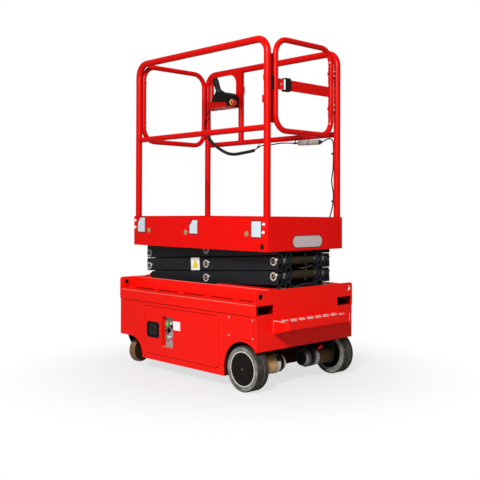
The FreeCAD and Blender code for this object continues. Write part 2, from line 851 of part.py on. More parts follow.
def side_rail(side):
    y = side * post_y
    z = guard_top - rail_r
    points = [V(far_post_x, y, deck_top), V(far_post_x, y, z), V(near_post_x, y, z), V(near_post_x, y, deck_top)]
    bends = [rail_bend, rail_bend]
    mid_z = mid_top - mid_r
    ends = (V(far_post_x, y, mid_z), V(near_post_x, y, mid_z))
    parts = [swept(points, bends, rail_r), rod(ends[0], ends[1], mid_r)]
    holes = [swept(points, bends, rail_r - rail_wall), rod(ends[0], ends[1], mid_r - rail_wall)]
    if side > 0:
        low = V(brace_x, y, mid_z)
        high = V(brace_x, y, z)
        parts.append(rod(low, high, brace_r))
        holes.append(rod(low, high, brace_r - rail_wall))
    frame = join(parts).cut(join(holes))
    if side > 0:
        leaves = []
        for level in hinge_levels:
            leaves.append(box(hinge_x - 3, near_post_x - rail_r + 3, hinge_y, post_y, level - knuckle, level))
            leaves.append(rod(V(hinge_x, hinge_y, level - knuckle), V(hinge_x, hinge_y, level), knuckle_r))
            leaves.append(rod(V(hinge_x, hinge_y, level - knuckle), V(hinge_x, hinge_y, level + knuckle + 2),
                              hinge_pin_r - slack))
        frame = join([frame] + leaves)
    return frame


def rear_loop():
    y = post_y - rail_r - seat - loop_r
    points = loop_points(far_post_x, -y, y, rear_loop_bottom, guard_top - rail_r)
    return pipe(points, [loop_bend] * 4, loop_r, rail_wall)


def gate():
    x = near_post_x
    z1 = guard_top - rail_r + gate_above_rail
    points = loop_points(x, gate_y0, gate_y1, gate_bottom, z1)
    loop = pipe(points, [loop_bend] * 4, loop_r, rail_wall)
    bar = box(x - 2, x + 2, gate_y0 + loop_r - 2, gate_y1 - loop_r + 2, gate_plate_z0, gate_plate_z1)
    parts = [loop, bar]
    for level in hinge_levels:
        low = level + 1
        high = level + 1 + knuckle
        leaf = box(hinge_x - 3, x - loop_r + 3, gate_y1 - 4, hinge_y, low, high)
        eye = rod(V(hinge_x, hinge_y, low), V(hinge_x, hinge_y, high), knuckle_r)
        parts.extend([leaf, eye])
    whole = join(parts)
    for level in hinge_levels:
        whole = whole.cut(rod(V(hinge_x, hinge_y, level), V(hinge_x, hinge_y, level + knuckle + 3), hinge_pin_r))
    return whole


def gate_latch():
    x = near_post_x
    mid = (gate_plate_z0 + gate_plate_z1) / 2
    high = (gate_plate_z1 - gate_plate_z0) / 2 + 4
    y0 = gate_y0 + 61
    block = box(x - 14, x + 12, y0, y0 + 40, mid - high, mid + high)
    slot = box(x - 2, x + 2, y0 - 1, y0 + 41, gate_plate_z0, gate_plate_z1)
    return block.cut(slot)


def control_bracket():
    # A pierced sheet hangs on the far rail frame and ends in a shelf for the control box.
    y0 = post_y - rail_r - 3.3
    x0 = brace_x - 265
    x1 = brace_x + brace_r + 8
    z1 = guard_top - 10
    sheet_plate = plate("xz", rounded(x0, x1, shelf_z, z1, 10), y0, 3)
    window = plate("xz", rounded(x0 + 26, x1 - 52, shelf_z + 40, guard_top - 42, 60), y0 - 1, 5)
    shelf = box(shelf_x1 - 153, shelf_x1, shelf_y, y0 + 1, shelf_z, shelf_z + 3)
    edge = [(shelf_x1 - 185, shelf_z), (shelf_x1, shelf_z), (shelf_x1 - 4, shelf_z + 25), (shelf_x1 - 185, shelf_z + 42)]
    return join([sheet_plate.cut(window), shelf, plate("xz", edge, shelf_y, 3)])


def control_box():
    # Along and up from the shelf's open end.
    side = [(-150, 3.3), (-147, 43), (-111, 90), (-103, 96), (-34, 92), (-4, 75), (6, 56), (2, 3.3)]
    outline = [(shelf_x1 + a, shelf_z + b) for a, b in side]
    return plate("xz", outline, shelf_y + 3.3, 100.7)


def joystick():
    base = V(shelf_x1 - 120, shelf_y + 52, shelf_z + 92)
    tip = V(shelf_x1 - 166, shelf_y + 52, shelf_z + 194)
    boot = turned([(0, 34), (14, 28), (26, 17), (26, 0), (0, 0)], base, tip - base)
    return join([rod(base, tip, 16), boot]).cut(control_box())


def tube_along(points, r, name):
    bends = []
    for i in range(1, len(points) - 1):
        back = points[i - 1] - points[i]
        ahead = points[i + 1] - points[i]
        turn = math.pi - back.getAngle(ahead)
        bends.append(0.45 * min(back.Length, ahead.Length) / math.tan(turn / 2))
    length = bent_path(points, bends).Length
    solid = swept(points, bends, r)
    print(name, "length", round(length, 1), "volume ratio", round(solid.Volume / (math.pi * r * r * length), 4),
          "radii", [round(b) for b in bends])
    return solid


cable_r = 3.5
wrap_r = 10.0
cable_upper_route = [
    (-371.6, 190, 1584), (-396, 191, 1583), (-426, 200, 1568), (-460, 212, 1561), (-496, 221, 1543), (-512, 225, 1520),
    (-518, 226, 1494), (-517, 227, 1472), (-511, 232, 1440), (-505, 240, 1414),
]
wrap_route = [
    (-505, 240, 1414), (-490, 244, 1388), (-459, 247, 1357), (-426, 249, 1335), (-390, 252, 1314), (-352, 256, 1295),
    (-314, 260, 1283), (-264, 261, 1277), (-190, 260, 1283), (-135, 259, 1287), (-85, 257, 1293),
]
cable_mid_route = [
    (-85, 257, 1293), (-60, 256, 1303), (-38, 254, 1315), (-5, 255, 1320), (35, 254, 1316), (80, 255, 1320),
    (130, 254, 1324), (185, 254, 1323), (240, 250, 1318), (290, 244, 1315),
]
cable_lower_route = [
    (478, 246, 1311), (490, 248, 1315), (508, 253, 1325), (526, 260, 1329), (538, 268, 1319), (540.5, 272, 1298),
    (540, 273.5, 1265), (540.5, 272.5, 1225), (539, 272, 1180), (539.5, 271, 1150), (535, 268, 1120),
    (532, 267, 1092), (535, 269, 1060), (540, 272, 1030), (540.5, 272.5, 985), (538.5, 270, 955), (531, 266, 915),
    (521, 263, 880), (512, 262, 845), (505, 262, 815), (503, 262, 788.3),
]


def cord(route, r, name):
    return tube_along([V(*p) for p in route], r, name)


def cable_connector():
    start = V(*cable_mid_route[-1])
    end = V(*cable_lower_route[0])
    length = (end - start).Length
    profile = [
        (0, 0), (0, 5), (16, 11), (16, 14), (length / 2 - 4, 14), (length / 2 - 4, 15.5), (length / 2 + 4, 15.5),
        (length / 2 + 4, 14), (length - 16, 14), (length - 16, 11), (length, 5), (length, 0),
    ]
    return turned(profile, start, end - start)


def save(name, shape):
    shape.translate(V(origin_x, 0, 0))
    shape.exportStep("parts/" + name + ".step")
    print(name, "solids", len(shape.Solids), "valid", shape.isValid(), "volume", round(shape.Volume / 1000))


save("chassis_shell", chassis_shell())
save("fork_pockets", fork_pockets())
save("end_plates", end_plates())
save("trough", trough())
save("base_lugs", base_lugs())
save("base_pins", base_pins())
save("lower_tracks", lower_tracks())
save("step", step())
save("access_panels", access_panels())
save("battery", battery())
save("hydraulic_unit", hydraulic_unit())
save("drive_motors", group([drive_motor(motor_steps_left, -1), drive_motor(motor_steps_right, 1)]))
save("motor_mounts", group(both_sides(motor_mount())))
save("drive_tyre_left", tyre())
save("drive_tyre_right", mirror(tyre()))
save("drive_hub_left", hub())
save("drive_hub_right", mirror(hub()))
for side_name, side_sign in (("left", -1), ("right", 1)):
    save("caster_fork_" + side_name, placed_caster(caster_fork(), side_sign))
    save("caster_wheel_" + side_name, placed_caster(caster_wheel(), side_sign))
save("door_left", door(True))
save("door_right", mirror(door(False)))
save("charge_socket", charge_socket())
save("ground_controls", ground_controls())
for number in range(1, stages + 1):
    save("outer_arms_" + str(number), outer_arms(number))
    save("inner_arms_" + str(number), inner_arms(number))
    save("arm_pins_" + str(number), arm_pins(number))
save("lower_rollers", lower_rollers())
save("upper_rollers", upper_rollers())
save("lift_barrel", lift_barrel())
save("lift_rod", lift_rod())
save("deck", deck())
save("toe_board", toe_board())
save("upper_tracks", upper_tracks())
save("platform_pins", platform_pins())
save("side_rail_left", side_rail(-1))
save("side_rail_right", side_rail(1))
save("rear_loop", rear_loop())
save("gate", gate())
save("gate_latch", gate_latch())
save("control_bracket", control_bracket())
save("control_box", control_box())
save("joystick", joystick())
save("cable_upper", cord(cable_upper_route, cable_r, "cable_upper"))
save("cable_wrap", cord(wrap_route, wrap_r, "cable_wrap"))
save("cable_mid", cord(cable_mid_route, cable_r, "cable_mid"))
save("cable_connector", cable_connector())
save("cable_lower", cord(cable_lower_route, cable_r, "cable_lower"))
print("cylinder length and angle", [round(v, 3) for v in cylinder_frame()])
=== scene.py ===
import bpy
import bmesh
import math
from mathutils import Matrix, Vector


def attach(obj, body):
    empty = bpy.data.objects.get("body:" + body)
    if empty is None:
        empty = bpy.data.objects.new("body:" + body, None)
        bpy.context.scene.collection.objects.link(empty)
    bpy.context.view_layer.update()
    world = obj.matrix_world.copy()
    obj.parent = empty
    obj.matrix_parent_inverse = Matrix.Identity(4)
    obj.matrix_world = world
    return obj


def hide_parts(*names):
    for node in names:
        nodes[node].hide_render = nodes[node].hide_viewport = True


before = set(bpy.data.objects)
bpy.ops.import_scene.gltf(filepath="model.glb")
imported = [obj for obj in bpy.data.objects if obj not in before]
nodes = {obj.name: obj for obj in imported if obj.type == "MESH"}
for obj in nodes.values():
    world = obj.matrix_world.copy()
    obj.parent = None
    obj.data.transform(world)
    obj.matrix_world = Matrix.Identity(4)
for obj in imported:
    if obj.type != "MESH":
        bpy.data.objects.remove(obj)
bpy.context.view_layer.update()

# Lengths are in mm on the chassis, and origin_x moves them into the row frame.
origin_x = -50.0


def at(x, y, z):
    return Vector(((x + origin_x) / 1000, y / 1000, z / 1000))


def new_object(name, data):
    obj = bpy.data.objects.new(name, data)
    bpy.context.scene.collection.objects.link(obj)
    return obj


# Camera, fitted to the photograph's edges.
cam_place = at(3366.6, -3082.3, 926.1)
cam_yaw, cam_pitch, cam_roll = math.radians(45.6), math.radians(0.5), math.radians(0.16)
focal_px, centre_px, centre_py, photo_px = 777.66, 258.58, 203.08, 480.0

# Colours in linear light.
red = (0.86, 0.0075, 0.0030)
# The rails' red is a darker copy of the chassis red: painted shade on the upper rails.
rail_red_shaded = (0.60, 0.0022, 0.0007)
arm_black = (0.0076, 0.0096, 0.0120)
zinc_grey = (0.52, 0.50, 0.45)
bright_steel = (0.66, 0.65, 0.63)
tread_rubber = (0.029, 0.026, 0.021)
caster_brown = (0.17, 0.085, 0.04)
plastic_black = (0.0045, 0.0045, 0.005)
brass_tan = (0.50, 0.29, 0.11)
plate_white = (0.86, 0.86, 0.86)
plain_white = (1, 1, 1, 1)


def shade(colour, factor, lift=0.0):
    return tuple(min(1, c * factor + lift) for c in colour)


def feed(node, inputs):
    # Each input takes a plain value or another node's output.
    for key, value in inputs.items():
        if isinstance(value, bpy.types.NodeSocket):
            node.id_data.links.new(value, node.inputs[key])
        else:
            node.inputs[key].default_value = value


def new_node(tree, kind, inputs, **settings):
    node = tree.nodes.new("ShaderNode" + kind)
    for key, value in settings.items():
        setattr(node, key, value)
    feed(node, inputs)
    return node


# Node materials. A Shader starts as one colour and takes tints, roughness and bumps one after another.
class Shader:
    def __init__(self, name, colour, rough, metal=0.0, coat=0.0, spec=0.5):
        self.mat = bpy.data.materials.new(name)
        self.mat.use_nodes = True
        self.tree = self.mat.node_tree
        self.bsdf = self.tree.nodes["Principled BSDF"]
        self.colour_out = (*colour, 1)
        self.normal_out = None
        self.place = self.node("TexCoord").outputs["Object"]
        feed(self.bsdf, {
            "Base Color": self.colour_out, "Roughness": rough, "Metallic": metal,
            "Coat Weight": coat, "Coat Roughness": 0.12, "Specular IOR Level": spec,
        })

    def node(self, kind, inputs=None, **settings):
        return new_node(self.tree, kind, inputs or {}, **settings)

    def mapped(self, **inputs):
        return self.node("Mapping", {"Vector": self.place, **inputs}).outputs["Vector"]

    def part(self, vector, axis):
        return self.node("SeparateXYZ", {0: vector}).outputs[axis]

    def noise(self, scale, detail=3.0, rough=0.55, stretch=None):
        place = self.mapped(Scale=stretch) if stretch else self.place
        inputs = {"Vector": place, "Scale": scale, "Detail": detail, "Roughness": rough}
        return self.node("TexNoise", inputs).outputs["Fac"]

    def ramp(self, value, low, high, first=0.0, last=1.0, **settings):
        inputs = {"Value": value, "From Min": low, "From Max": high, "To Min": first, "To Max": last}
        return self.node("MapRange", inputs, **settings).outputs["Result"]

    def math(self, operation, a, b):
        return self.node("Math", {0: a, 1: b}, operation=operation).outputs[0]

    def times(self, a, b):
        return self.math("MULTIPLY", a, b)

    def tint(self, factor, colour):
        mix = self.node("Mix", data_type="RGBA")
        feed(mix, {0: factor, 6: self.colour_out, 7: (*colour, 1)})
        self.colour_out = mix.outputs[2]
        feed(self.bsdf, {"Base Color": self.colour_out})
        return self

    def rough(self, value, low, high):
        feed(self.bsdf, {"Roughness": self.ramp(value, 0.3, 0.7, low, high)})
        return self

    def bump(self, height, strength, distance):
        bump = self.node("Bump", {"Strength": strength, "Distance": distance, "Height": height})
        if self.normal_out:
            feed(bump, {"Normal": self.normal_out})
        self.normal_out = bump.outputs["Normal"]
        feed(self.bsdf, {"Normal": self.normal_out})
        return self

    def edges(self, radius):
        # How far the rounded normal leans from the true one, so 0 on flats and more at edges.
        rounded_off = self.node("Bevel", {"Radius": radius}, samples=4).outputs["Normal"]
        true = self.node("NewGeometry").outputs["Normal"]
        dot = self.node("VectorMath", {0: rounded_off, 1: true}, operation="DOT_PRODUCT")
        return self.ramp(dot.outputs["Value"], 0.985, 0.80)

    def upward(self):
        return self.ramp(self.part(self.node("NewGeometry").outputs["Normal"], "Z"), 0.5, 1.0)

    def within(self, half_width, top, bottom=-1.0):
        # 1 for the faces nearer the middle than half_width and between bottom and top, behind the skin,
        # where painted shade goes.
        across = self.math("ABSOLUTE", self.part(self.place, "Y"), 0.0)
        height = self.part(self.place, "Z")
        near = self.ramp(across, half_width, half_width - 0.0015)
        low = self.times(near, self.ramp(height, top, top - 0.002))
        return self.times(low, self.ramp(height, bottom - 0.001, bottom))


def painted(name, colour, rough, wear, dust_and_sheen, spec=0.11, worn=None, inside=None,
            inside_shade=(0.030, 0.0012, 0.0008)):
    s = Shader(name, colour, rough, spec=spec)
    s.tint(s.ramp(s.noise(3.2, 4), 0.35, 0.75, 0.0, 0.25), shade(colour, 0.80))
    s.tint(s.times(s.ramp(s.noise(38, 6, 0.7), 0.62, 0.75), 0.08), shade(colour, 0.5))
    patch = s.ramp(s.noise(55, 5, 0.65), 0.50, 0.66)
    s.tint(s.times(s.times(s.edges(0.0022), patch), wear), worn or shade(colour, 1.3, 0.05))
    # Upward faces take a pale tint: dust together with a painted sheen of the sky.
    dust_and_sheen_mask = s.times(s.upward(), s.ramp(s.noise(16, 5), 0.4, 0.7))
    s.tint(s.times(dust_and_sheen_mask, dust_and_sheen), (0.33, 0.27, 0.22))
    # Faces inside, as within() finds them, take the darker red: painted shade.
    if inside:
        s.tint(s.within(*inside), inside_shade)
    s.rough(s.noise(24, 4), rough - 0.05, rough + 0.09)
    s.bump(s.noise(620, 2, 0.4), 0.10, 0.0004)
    return s.bump(s.noise(9, 2), 0.12, 0.0015).mat


def metal(name, colour, rough, stain=None, amount=0.3, brushed=(1, 1, 1)):
    s = Shader(name, colour, rough, metal=0.95)
    s.tint(s.ramp(s.noise(40, 5), 0.35, 0.7, 0.0, 0.4), shade(colour, 0.62))
    if stain:
        s.tint(s.times(s.ramp(s.noise(90, 6, 0.7), 0.5, 0.66), amount), stain)
    s.rough(s.noise(120, 4, stretch=brushed), rough - 0.08, rough + 0.12)
    return s.bump(s.noise(500, 2, stretch=brushed), 0.15, 0.0003).mat


def plastic(name, colour, rough, grain=900, dust_and_sheen=0.03, spec=0.22):
    s = Shader(name, colour, rough, spec=spec)
    s.tint(s.ramp(s.noise(14, 4), 0.4, 0.7, 0.0, 0.5), shade(colour, 1.5, 0.002))
    # Upward faces take a pale tint: dust together with a painted sheen.
    s.tint(s.times(s.upward(), dust_and_sheen), (0.3, 0.28, 0.25))
    s.rough(s.noise(60, 3), rough - 0.06, rough + 0.08)
    return s.bump(s.noise(grain, 2), 0.22, 0.0004).mat


def rubber(name, colour, rough, dirt, amount, spec=0.25):
    s = Shader(name, colour, rough, spec=spec)
    s.tint(s.ramp(s.noise(30, 6, 0.7), 0.42, 0.68, 0.0, amount), dirt)
    s.tint(s.ramp(s.noise(240, 5, 0.75), 0.55, 0.72, 0.0, amount * 0.6), shade(colour, 0.4))
    s.rough(s.noise(80, 3), rough - 0.08, rough + 0.1)
    s.bump(s.noise(700, 3), 0.35, 0.0006)
    return s.bump(s.noise(60, 4), 0.25, 0.0010).mat


def mottled(name, colour, pale, dark):
    s = Shader(name, colour, 0.75, spec=0.15)
    s.tint(s.ramp(s.noise(22, 6, 0.75), 0.42, 0.62), pale)
    s.tint(s.ramp(s.noise(95, 6, 0.8), 0.56, 0.66, 0.0, 0.85), dark)
    s.tint(s.ramp(s.noise(9, 3), 0.5, 0.7, 0.0, 0.5), dark)
    s.bump(s.noise(300, 4), 0.4, 0.0008)
    return s.bump(s.noise(60, 4), 0.3, 0.0010).mat


def flat(name, colour, rough):
    s = Shader(name, colour, rough)
    s.tint(s.ramp(s.noise(70, 5), 0.45, 0.75, 0.0, 0.10), shade(colour, 0.75))
    s.rough(s.noise(40, 3), rough - 0.05, rough + 0.05)
    return s.bump(s.noise(300, 2), 0.06, 0.0002).mat


def glowing_lens(name, colour, rough):
    s = Shader(name, colour, rough, coat=0.6)
    feed(s.bsdf, {"Transmission Weight": 0.15})
    s.tint(s.ramp(s.noise(200, 2), 0.4, 0.7, 0.0, 0.3), shade(colour, 0.6))
    return s.bump(s.noise(900, 1), 0.05, 0.0002).mat


def woven(name, colour):
    # Two crossed families of diagonal threads.
    s = Shader(name, colour, 0.7, spec=0.3)
    threads = []
    for lean in (1, -1):
        inputs = {"Scale": 240, "Vector": s.mapped(Scale=(lean, 1, 1))}
        threads.append(s.node("TexWave", inputs, bands_direction="DIAGONAL").outputs["Fac"])
    weave = s.math("MAXIMUM", *threads)
    s.tint(s.times(weave, 0.5), shade(colour, 2.6))
    return s.bump(weave, 0.5, 0.0008).mat


def tread_plate(name, colour):
    # Two crossed families of short raised bars.
    s = Shader(name, colour, 0.36, coat=0.2)
    bar_step, row_step = 0.020, 0.010
    bars = []
    for turn in (math.radians(45), math.radians(-45)):
        turned = s.mapped(Rotation=(0, 0, turn))
        long_way = s.math("PINGPONG", s.part(turned, "X"), bar_step)
        short_way = s.math("PINGPONG", s.part(turned, "Y"), row_step)
        bars.append(s.times(s.ramp(long_way, 0.010, 0.013), s.ramp(short_way, 0.0072, 0.0082)))
    plate = s.math("MAXIMUM", *bars)
    s.tint(s.times(plate, 0.18), (0.9, 0.35, 0.3))
    s.tint(s.times(s.ramp(s.noise(7, 6, 0.7), 0.5, 0.75), 0.35), (0.22, 0.16, 0.13))
    s.rough(s.noise(18, 4), 0.32, 0.55)
    return s.bump(plate, 0.9, 0.0016).mat


materials = {
    "red": painted("red_paint", red, 0.34, 0.5, 0.10),
    # The rails' paint, darker than the chassis paint: painted shade.
    "rail": painted("red_paint_rail_shaded", rail_red_shaded, 0.30, 0.4, 0.03, spec=0.12),
    # A dark red for gaps, seams and strips that lie in shade: painted shade.
    "painted_shade_red": painted("red_paint_shaded", (0.20, 0.0012, 0.0006), 0.45, 0.2, 0.02, spec=0.08),
    # The toe board's paint is a darker copy of the chassis red: painted shade on the upper parts.
    "toe_red_shaded": painted("red_paint_toe_shaded", (0.72, 0.0028, 0.0010), 0.30, 0.4, 0.05),
    # Inside the fork pockets the paint turns dark red: painted shade.
    "red_pocket": painted("red_paint_pocket", red, 0.34, 0.5, 0.10, inside=(0.3765, 0.4455, 0.3945),
                          inside_shade=(0.13, 0.0030, 0.0018)),
    # A pale pink for thin lines along lit edges: painted highlight.
    "painted_highlight_pink": flat("painted_highlight_pink_edge", (0.85, 0.20, 0.16), 0.4),
    # A pale edge colour: wear together with painted highlight.
    "chipped_and_highlit": flat("chipped_and_highlit_edge", (0.84, 0.70, 0.66), 0.5),
    # Inside the chassis bay the paint turns near black: painted shade.
    "red_low": painted("red_paint_low", red, 0.40, 0.6, 0.22, inside=(0.372, 0.3905)),
    "black_paint": painted("black_paint", (0.006, 0.006, 0.006), 0.6, 0.2, 0.02, spec=0.1),
    "arm": painted("arm_paint", arm_black, 0.42, 0.7, 0.08, spec=0.3, worn=(0.10, 0.07, 0.045)),
    "olive": mottled("olive_tube", (0.017, 0.0155, 0.0085), (0.027, 0.021, 0.011), (0.050, 0.022, 0.009)),
    "dark": painted("dark_steel", (0.012, 0.012, 0.013), 0.45, 0.6, 0.12, spec=0.3),
    "zinc": metal("zinc", zinc_grey, 0.34, (0.30, 0.22, 0.12), 0.5),
    "worn_red": painted("worn_red", (0.80, 0.10, 0.075), 0.4, 0.5, 0.2),
    "pink_sill": painted("pink_sill", (0.62, 0.26, 0.22), 0.45, 0.2, 0.3),
    "ring_metal": flat("ring_metal", (0.60, 0.58, 0.53), 0.4),
    "bright_zinc": flat("bright_zinc", (0.80, 0.79, 0.75), 0.3),
    "band_steel": flat("band_steel", (0.50, 0.49, 0.45), 0.32),
    # A darker copy of the band steel for the right motor: painted shade.
    "band_steel_shaded": metal("band_steel_shaded", (0.55, 0.55, 0.52), 0.36, (0.10, 0.09, 0.07), 0.8),
    "ring_zinc": flat("ring_zinc", (0.44, 0.42, 0.385), 0.3),
    "dot_ring": flat("dot_ring", (0.40, 0.28, 0.17), 0.4),
    "beige_metal": flat("beige_metal", (0.56, 0.52, 0.42), 0.35),
    "pin_bore": metal("pin_bore", (0.10, 0.07, 0.045), 0.55, (0.16, 0.07, 0.03), 0.9),
    "steel": metal("bright_steel", bright_steel, 0.24, brushed=(1, 12, 1)),
    "chrome": metal("chrome_rod", (0.72, 0.72, 0.73), 0.12),
    "cast": metal("cast_grey", (0.30, 0.29, 0.27), 0.5, (0.12, 0.07, 0.04), 0.5),
    # A darker copy of the brass for the right motor: painted shade.
    "brass_shaded": metal("brass_shaded", (0.13, 0.075, 0.032), 0.5, (0.03, 0.02, 0.015), 0.8),
    "brass": flat("brass_tan", brass_tan, 0.32),
    "tyre_side": mottled("tyre_side", (0.135, 0.135, 0.118), (0.27, 0.27, 0.24), (0.025, 0.024, 0.020)),
    "tyre_tread": rubber("tyre_tread", tread_rubber, 0.78, (0.085, 0.072, 0.055), 0.7, spec=0.15),
    # A pale colour for rings at the grooves' edges: painted highlight.
    "groove_highlight": rubber("tyre_groove_highlight", (0.15, 0.148, 0.14), 0.7, (0.07, 0.065, 0.06), 0.6, spec=0.15),
    "caster": rubber("caster_tread", caster_brown, 0.50, (0.26, 0.17, 0.12), 0.6),
    "caster_side": rubber("caster_side", (0.030, 0.013, 0.005), 0.5, (0.008, 0.005, 0.003), 0.7),
    "plastic": plastic("black_plastic", plastic_black, 0.42),
    "rubber": rubber("black_rubber", (0.014, 0.014, 0.014), 0.6, (0.05, 0.05, 0.05), 0.4),
    "cable": plastic("cable_jacket", (0.0022, 0.0022, 0.0026), 0.46, grain=1500, dust_and_sheen=0.01, spec=0.08),
    "sheath": woven("woven_sheath", (0.006, 0.006, 0.0065)),
    "white": flat("white_plate", plate_white, 0.35),
    "plate_blue": flat("plate_blue", (0.56, 0.64, 0.70), 0.35),
    "plum": flat("plum_border", (0.050, 0.006, 0.008), 0.4),
    "amber": flat("amber_plain", (0.82, 0.52, 0.08), 0.4),
    "pale_plate": flat("pale_plate", (0.50, 0.42, 0.41), 0.4),
    "grey_panel": flat("grey_panel", (0.36, 0.34, 0.32), 0.4),
    "yellow": flat("yellow_plain", (0.80, 0.62, 0.02), 0.4),
    "button_green": glowing_lens("button_green", (0.01, 0.50, 0.09), 0.2),
    "button_dull": glowing_lens("button_dull", (0.03, 0.22, 0.12), 0.3),
    "button_red": glowing_lens("button_red", (0.74, 0.022, 0.010), 0.28),
    "lens_white": glowing_lens("lens_white", (0.62, 0.64, 0.60), 0.25),
    "dot_green": flat("dot_green", (0.15, 0.29, 0.09), 0.4),
    "deck": tread_plate("tread_plate", red),
    "hub": rubber("hub_cap", (0.0045, 0.0038, 0.0031), 0.6, (0.016, 0.014, 0.012), 0.4, spec=0.12),
    "battery": plastic("battery_case", (0.02, 0.02, 0.022), 0.5),
    "weld": painted("weld", shade(red, 0.9), 0.45, 0.2, 0.1),
    "shadow_gap": plastic("shadow_gap", (0.05, 0.002, 0.002), 0.8),
    "ribbed_grey": plastic("ribbed_grey", (0.40, 0.39, 0.37), 0.45),
}

# The frame's nodes by finish. The cable nodes aren't here, because the cords replace them.
nodes_by_finish = {
    "red_low": "chassis_shell",
    "red_pocket": "fork_pockets",
    "red": "end_plates trough lower_tracks step access_panels base_lugs door_left door_right upper_tracks",
    "toe_red_shaded": "toe_board",
    "rail": "side_rail_left side_rail_right rear_loop gate control_bracket",
    "zinc": "base_pins arm_pins_1 arm_pins_2 arm_pins_3 platform_pins lower_rollers upper_rollers "
            "cable_connector",
    "battery": "battery",
    "dark": "hydraulic_unit motor_mounts lift_barrel",
    "cast": "drive_motors",
    "tyre_tread": "drive_tyre_left drive_tyre_right",
    "black_paint": "drive_hub_left drive_hub_right caster_fork_left caster_fork_right",
    "caster": "caster_wheel_left caster_wheel_right",
    "plastic": "charge_socket gate_latch control_box",
    "grey_panel": "ground_controls",
    "arm": "outer_arms_1 outer_arms_2 outer_arms_3 inner_arms_1 inner_arms_2 inner_arms_3",
    "chrome": "lift_rod",
    "deck": "deck",
    "rubber": "joystick",
}
usual_edge = 1.2
other_edges = {"deck": 0, "rear_loop": 0, "gate": 0.6, "side_rail_left": 0.6, "side_rail_right": 0.6}


def soften(obj, width, angle):
    # Edges sharper than the angle get a small round, as a modifier.
    bevel = obj.modifiers.new("soft_edges", "BEVEL")
    bevel.width = width / 1000
    bevel.segments = 2
    bevel.limit_method = "ANGLE"
    bevel.angle_limit = math.radians(angle)
    bevel.harden_normals = True


def smooth(mesh, angle):
    mesh.shade_smooth()
    mesh.set_sharp_from_angle(angle=math.radians(angle))


for finish, names in nodes_by_finish.items():
    for name in names.split():
        obj = nodes[name]
        obj.data.materials.clear()
        obj.data.materials.append(materials[finish])
        smooth(obj.data, 32)
        edge_width = other_edges.get(name, usual_edge)
        if edge_width:
            soften(obj, edge_width, 38)


def spokes(axis, sides):
    # The axis and the directions that stand round it, each of unit length.
    along = Vector(axis).normalized()
    side = along.orthogonal().normalized()
    other = along.cross(side)
    turns = [2 * math.pi * k / sides for k in range(sides)]
    return along, [side * math.cos(t) + other * math.sin(t) for t in turns]


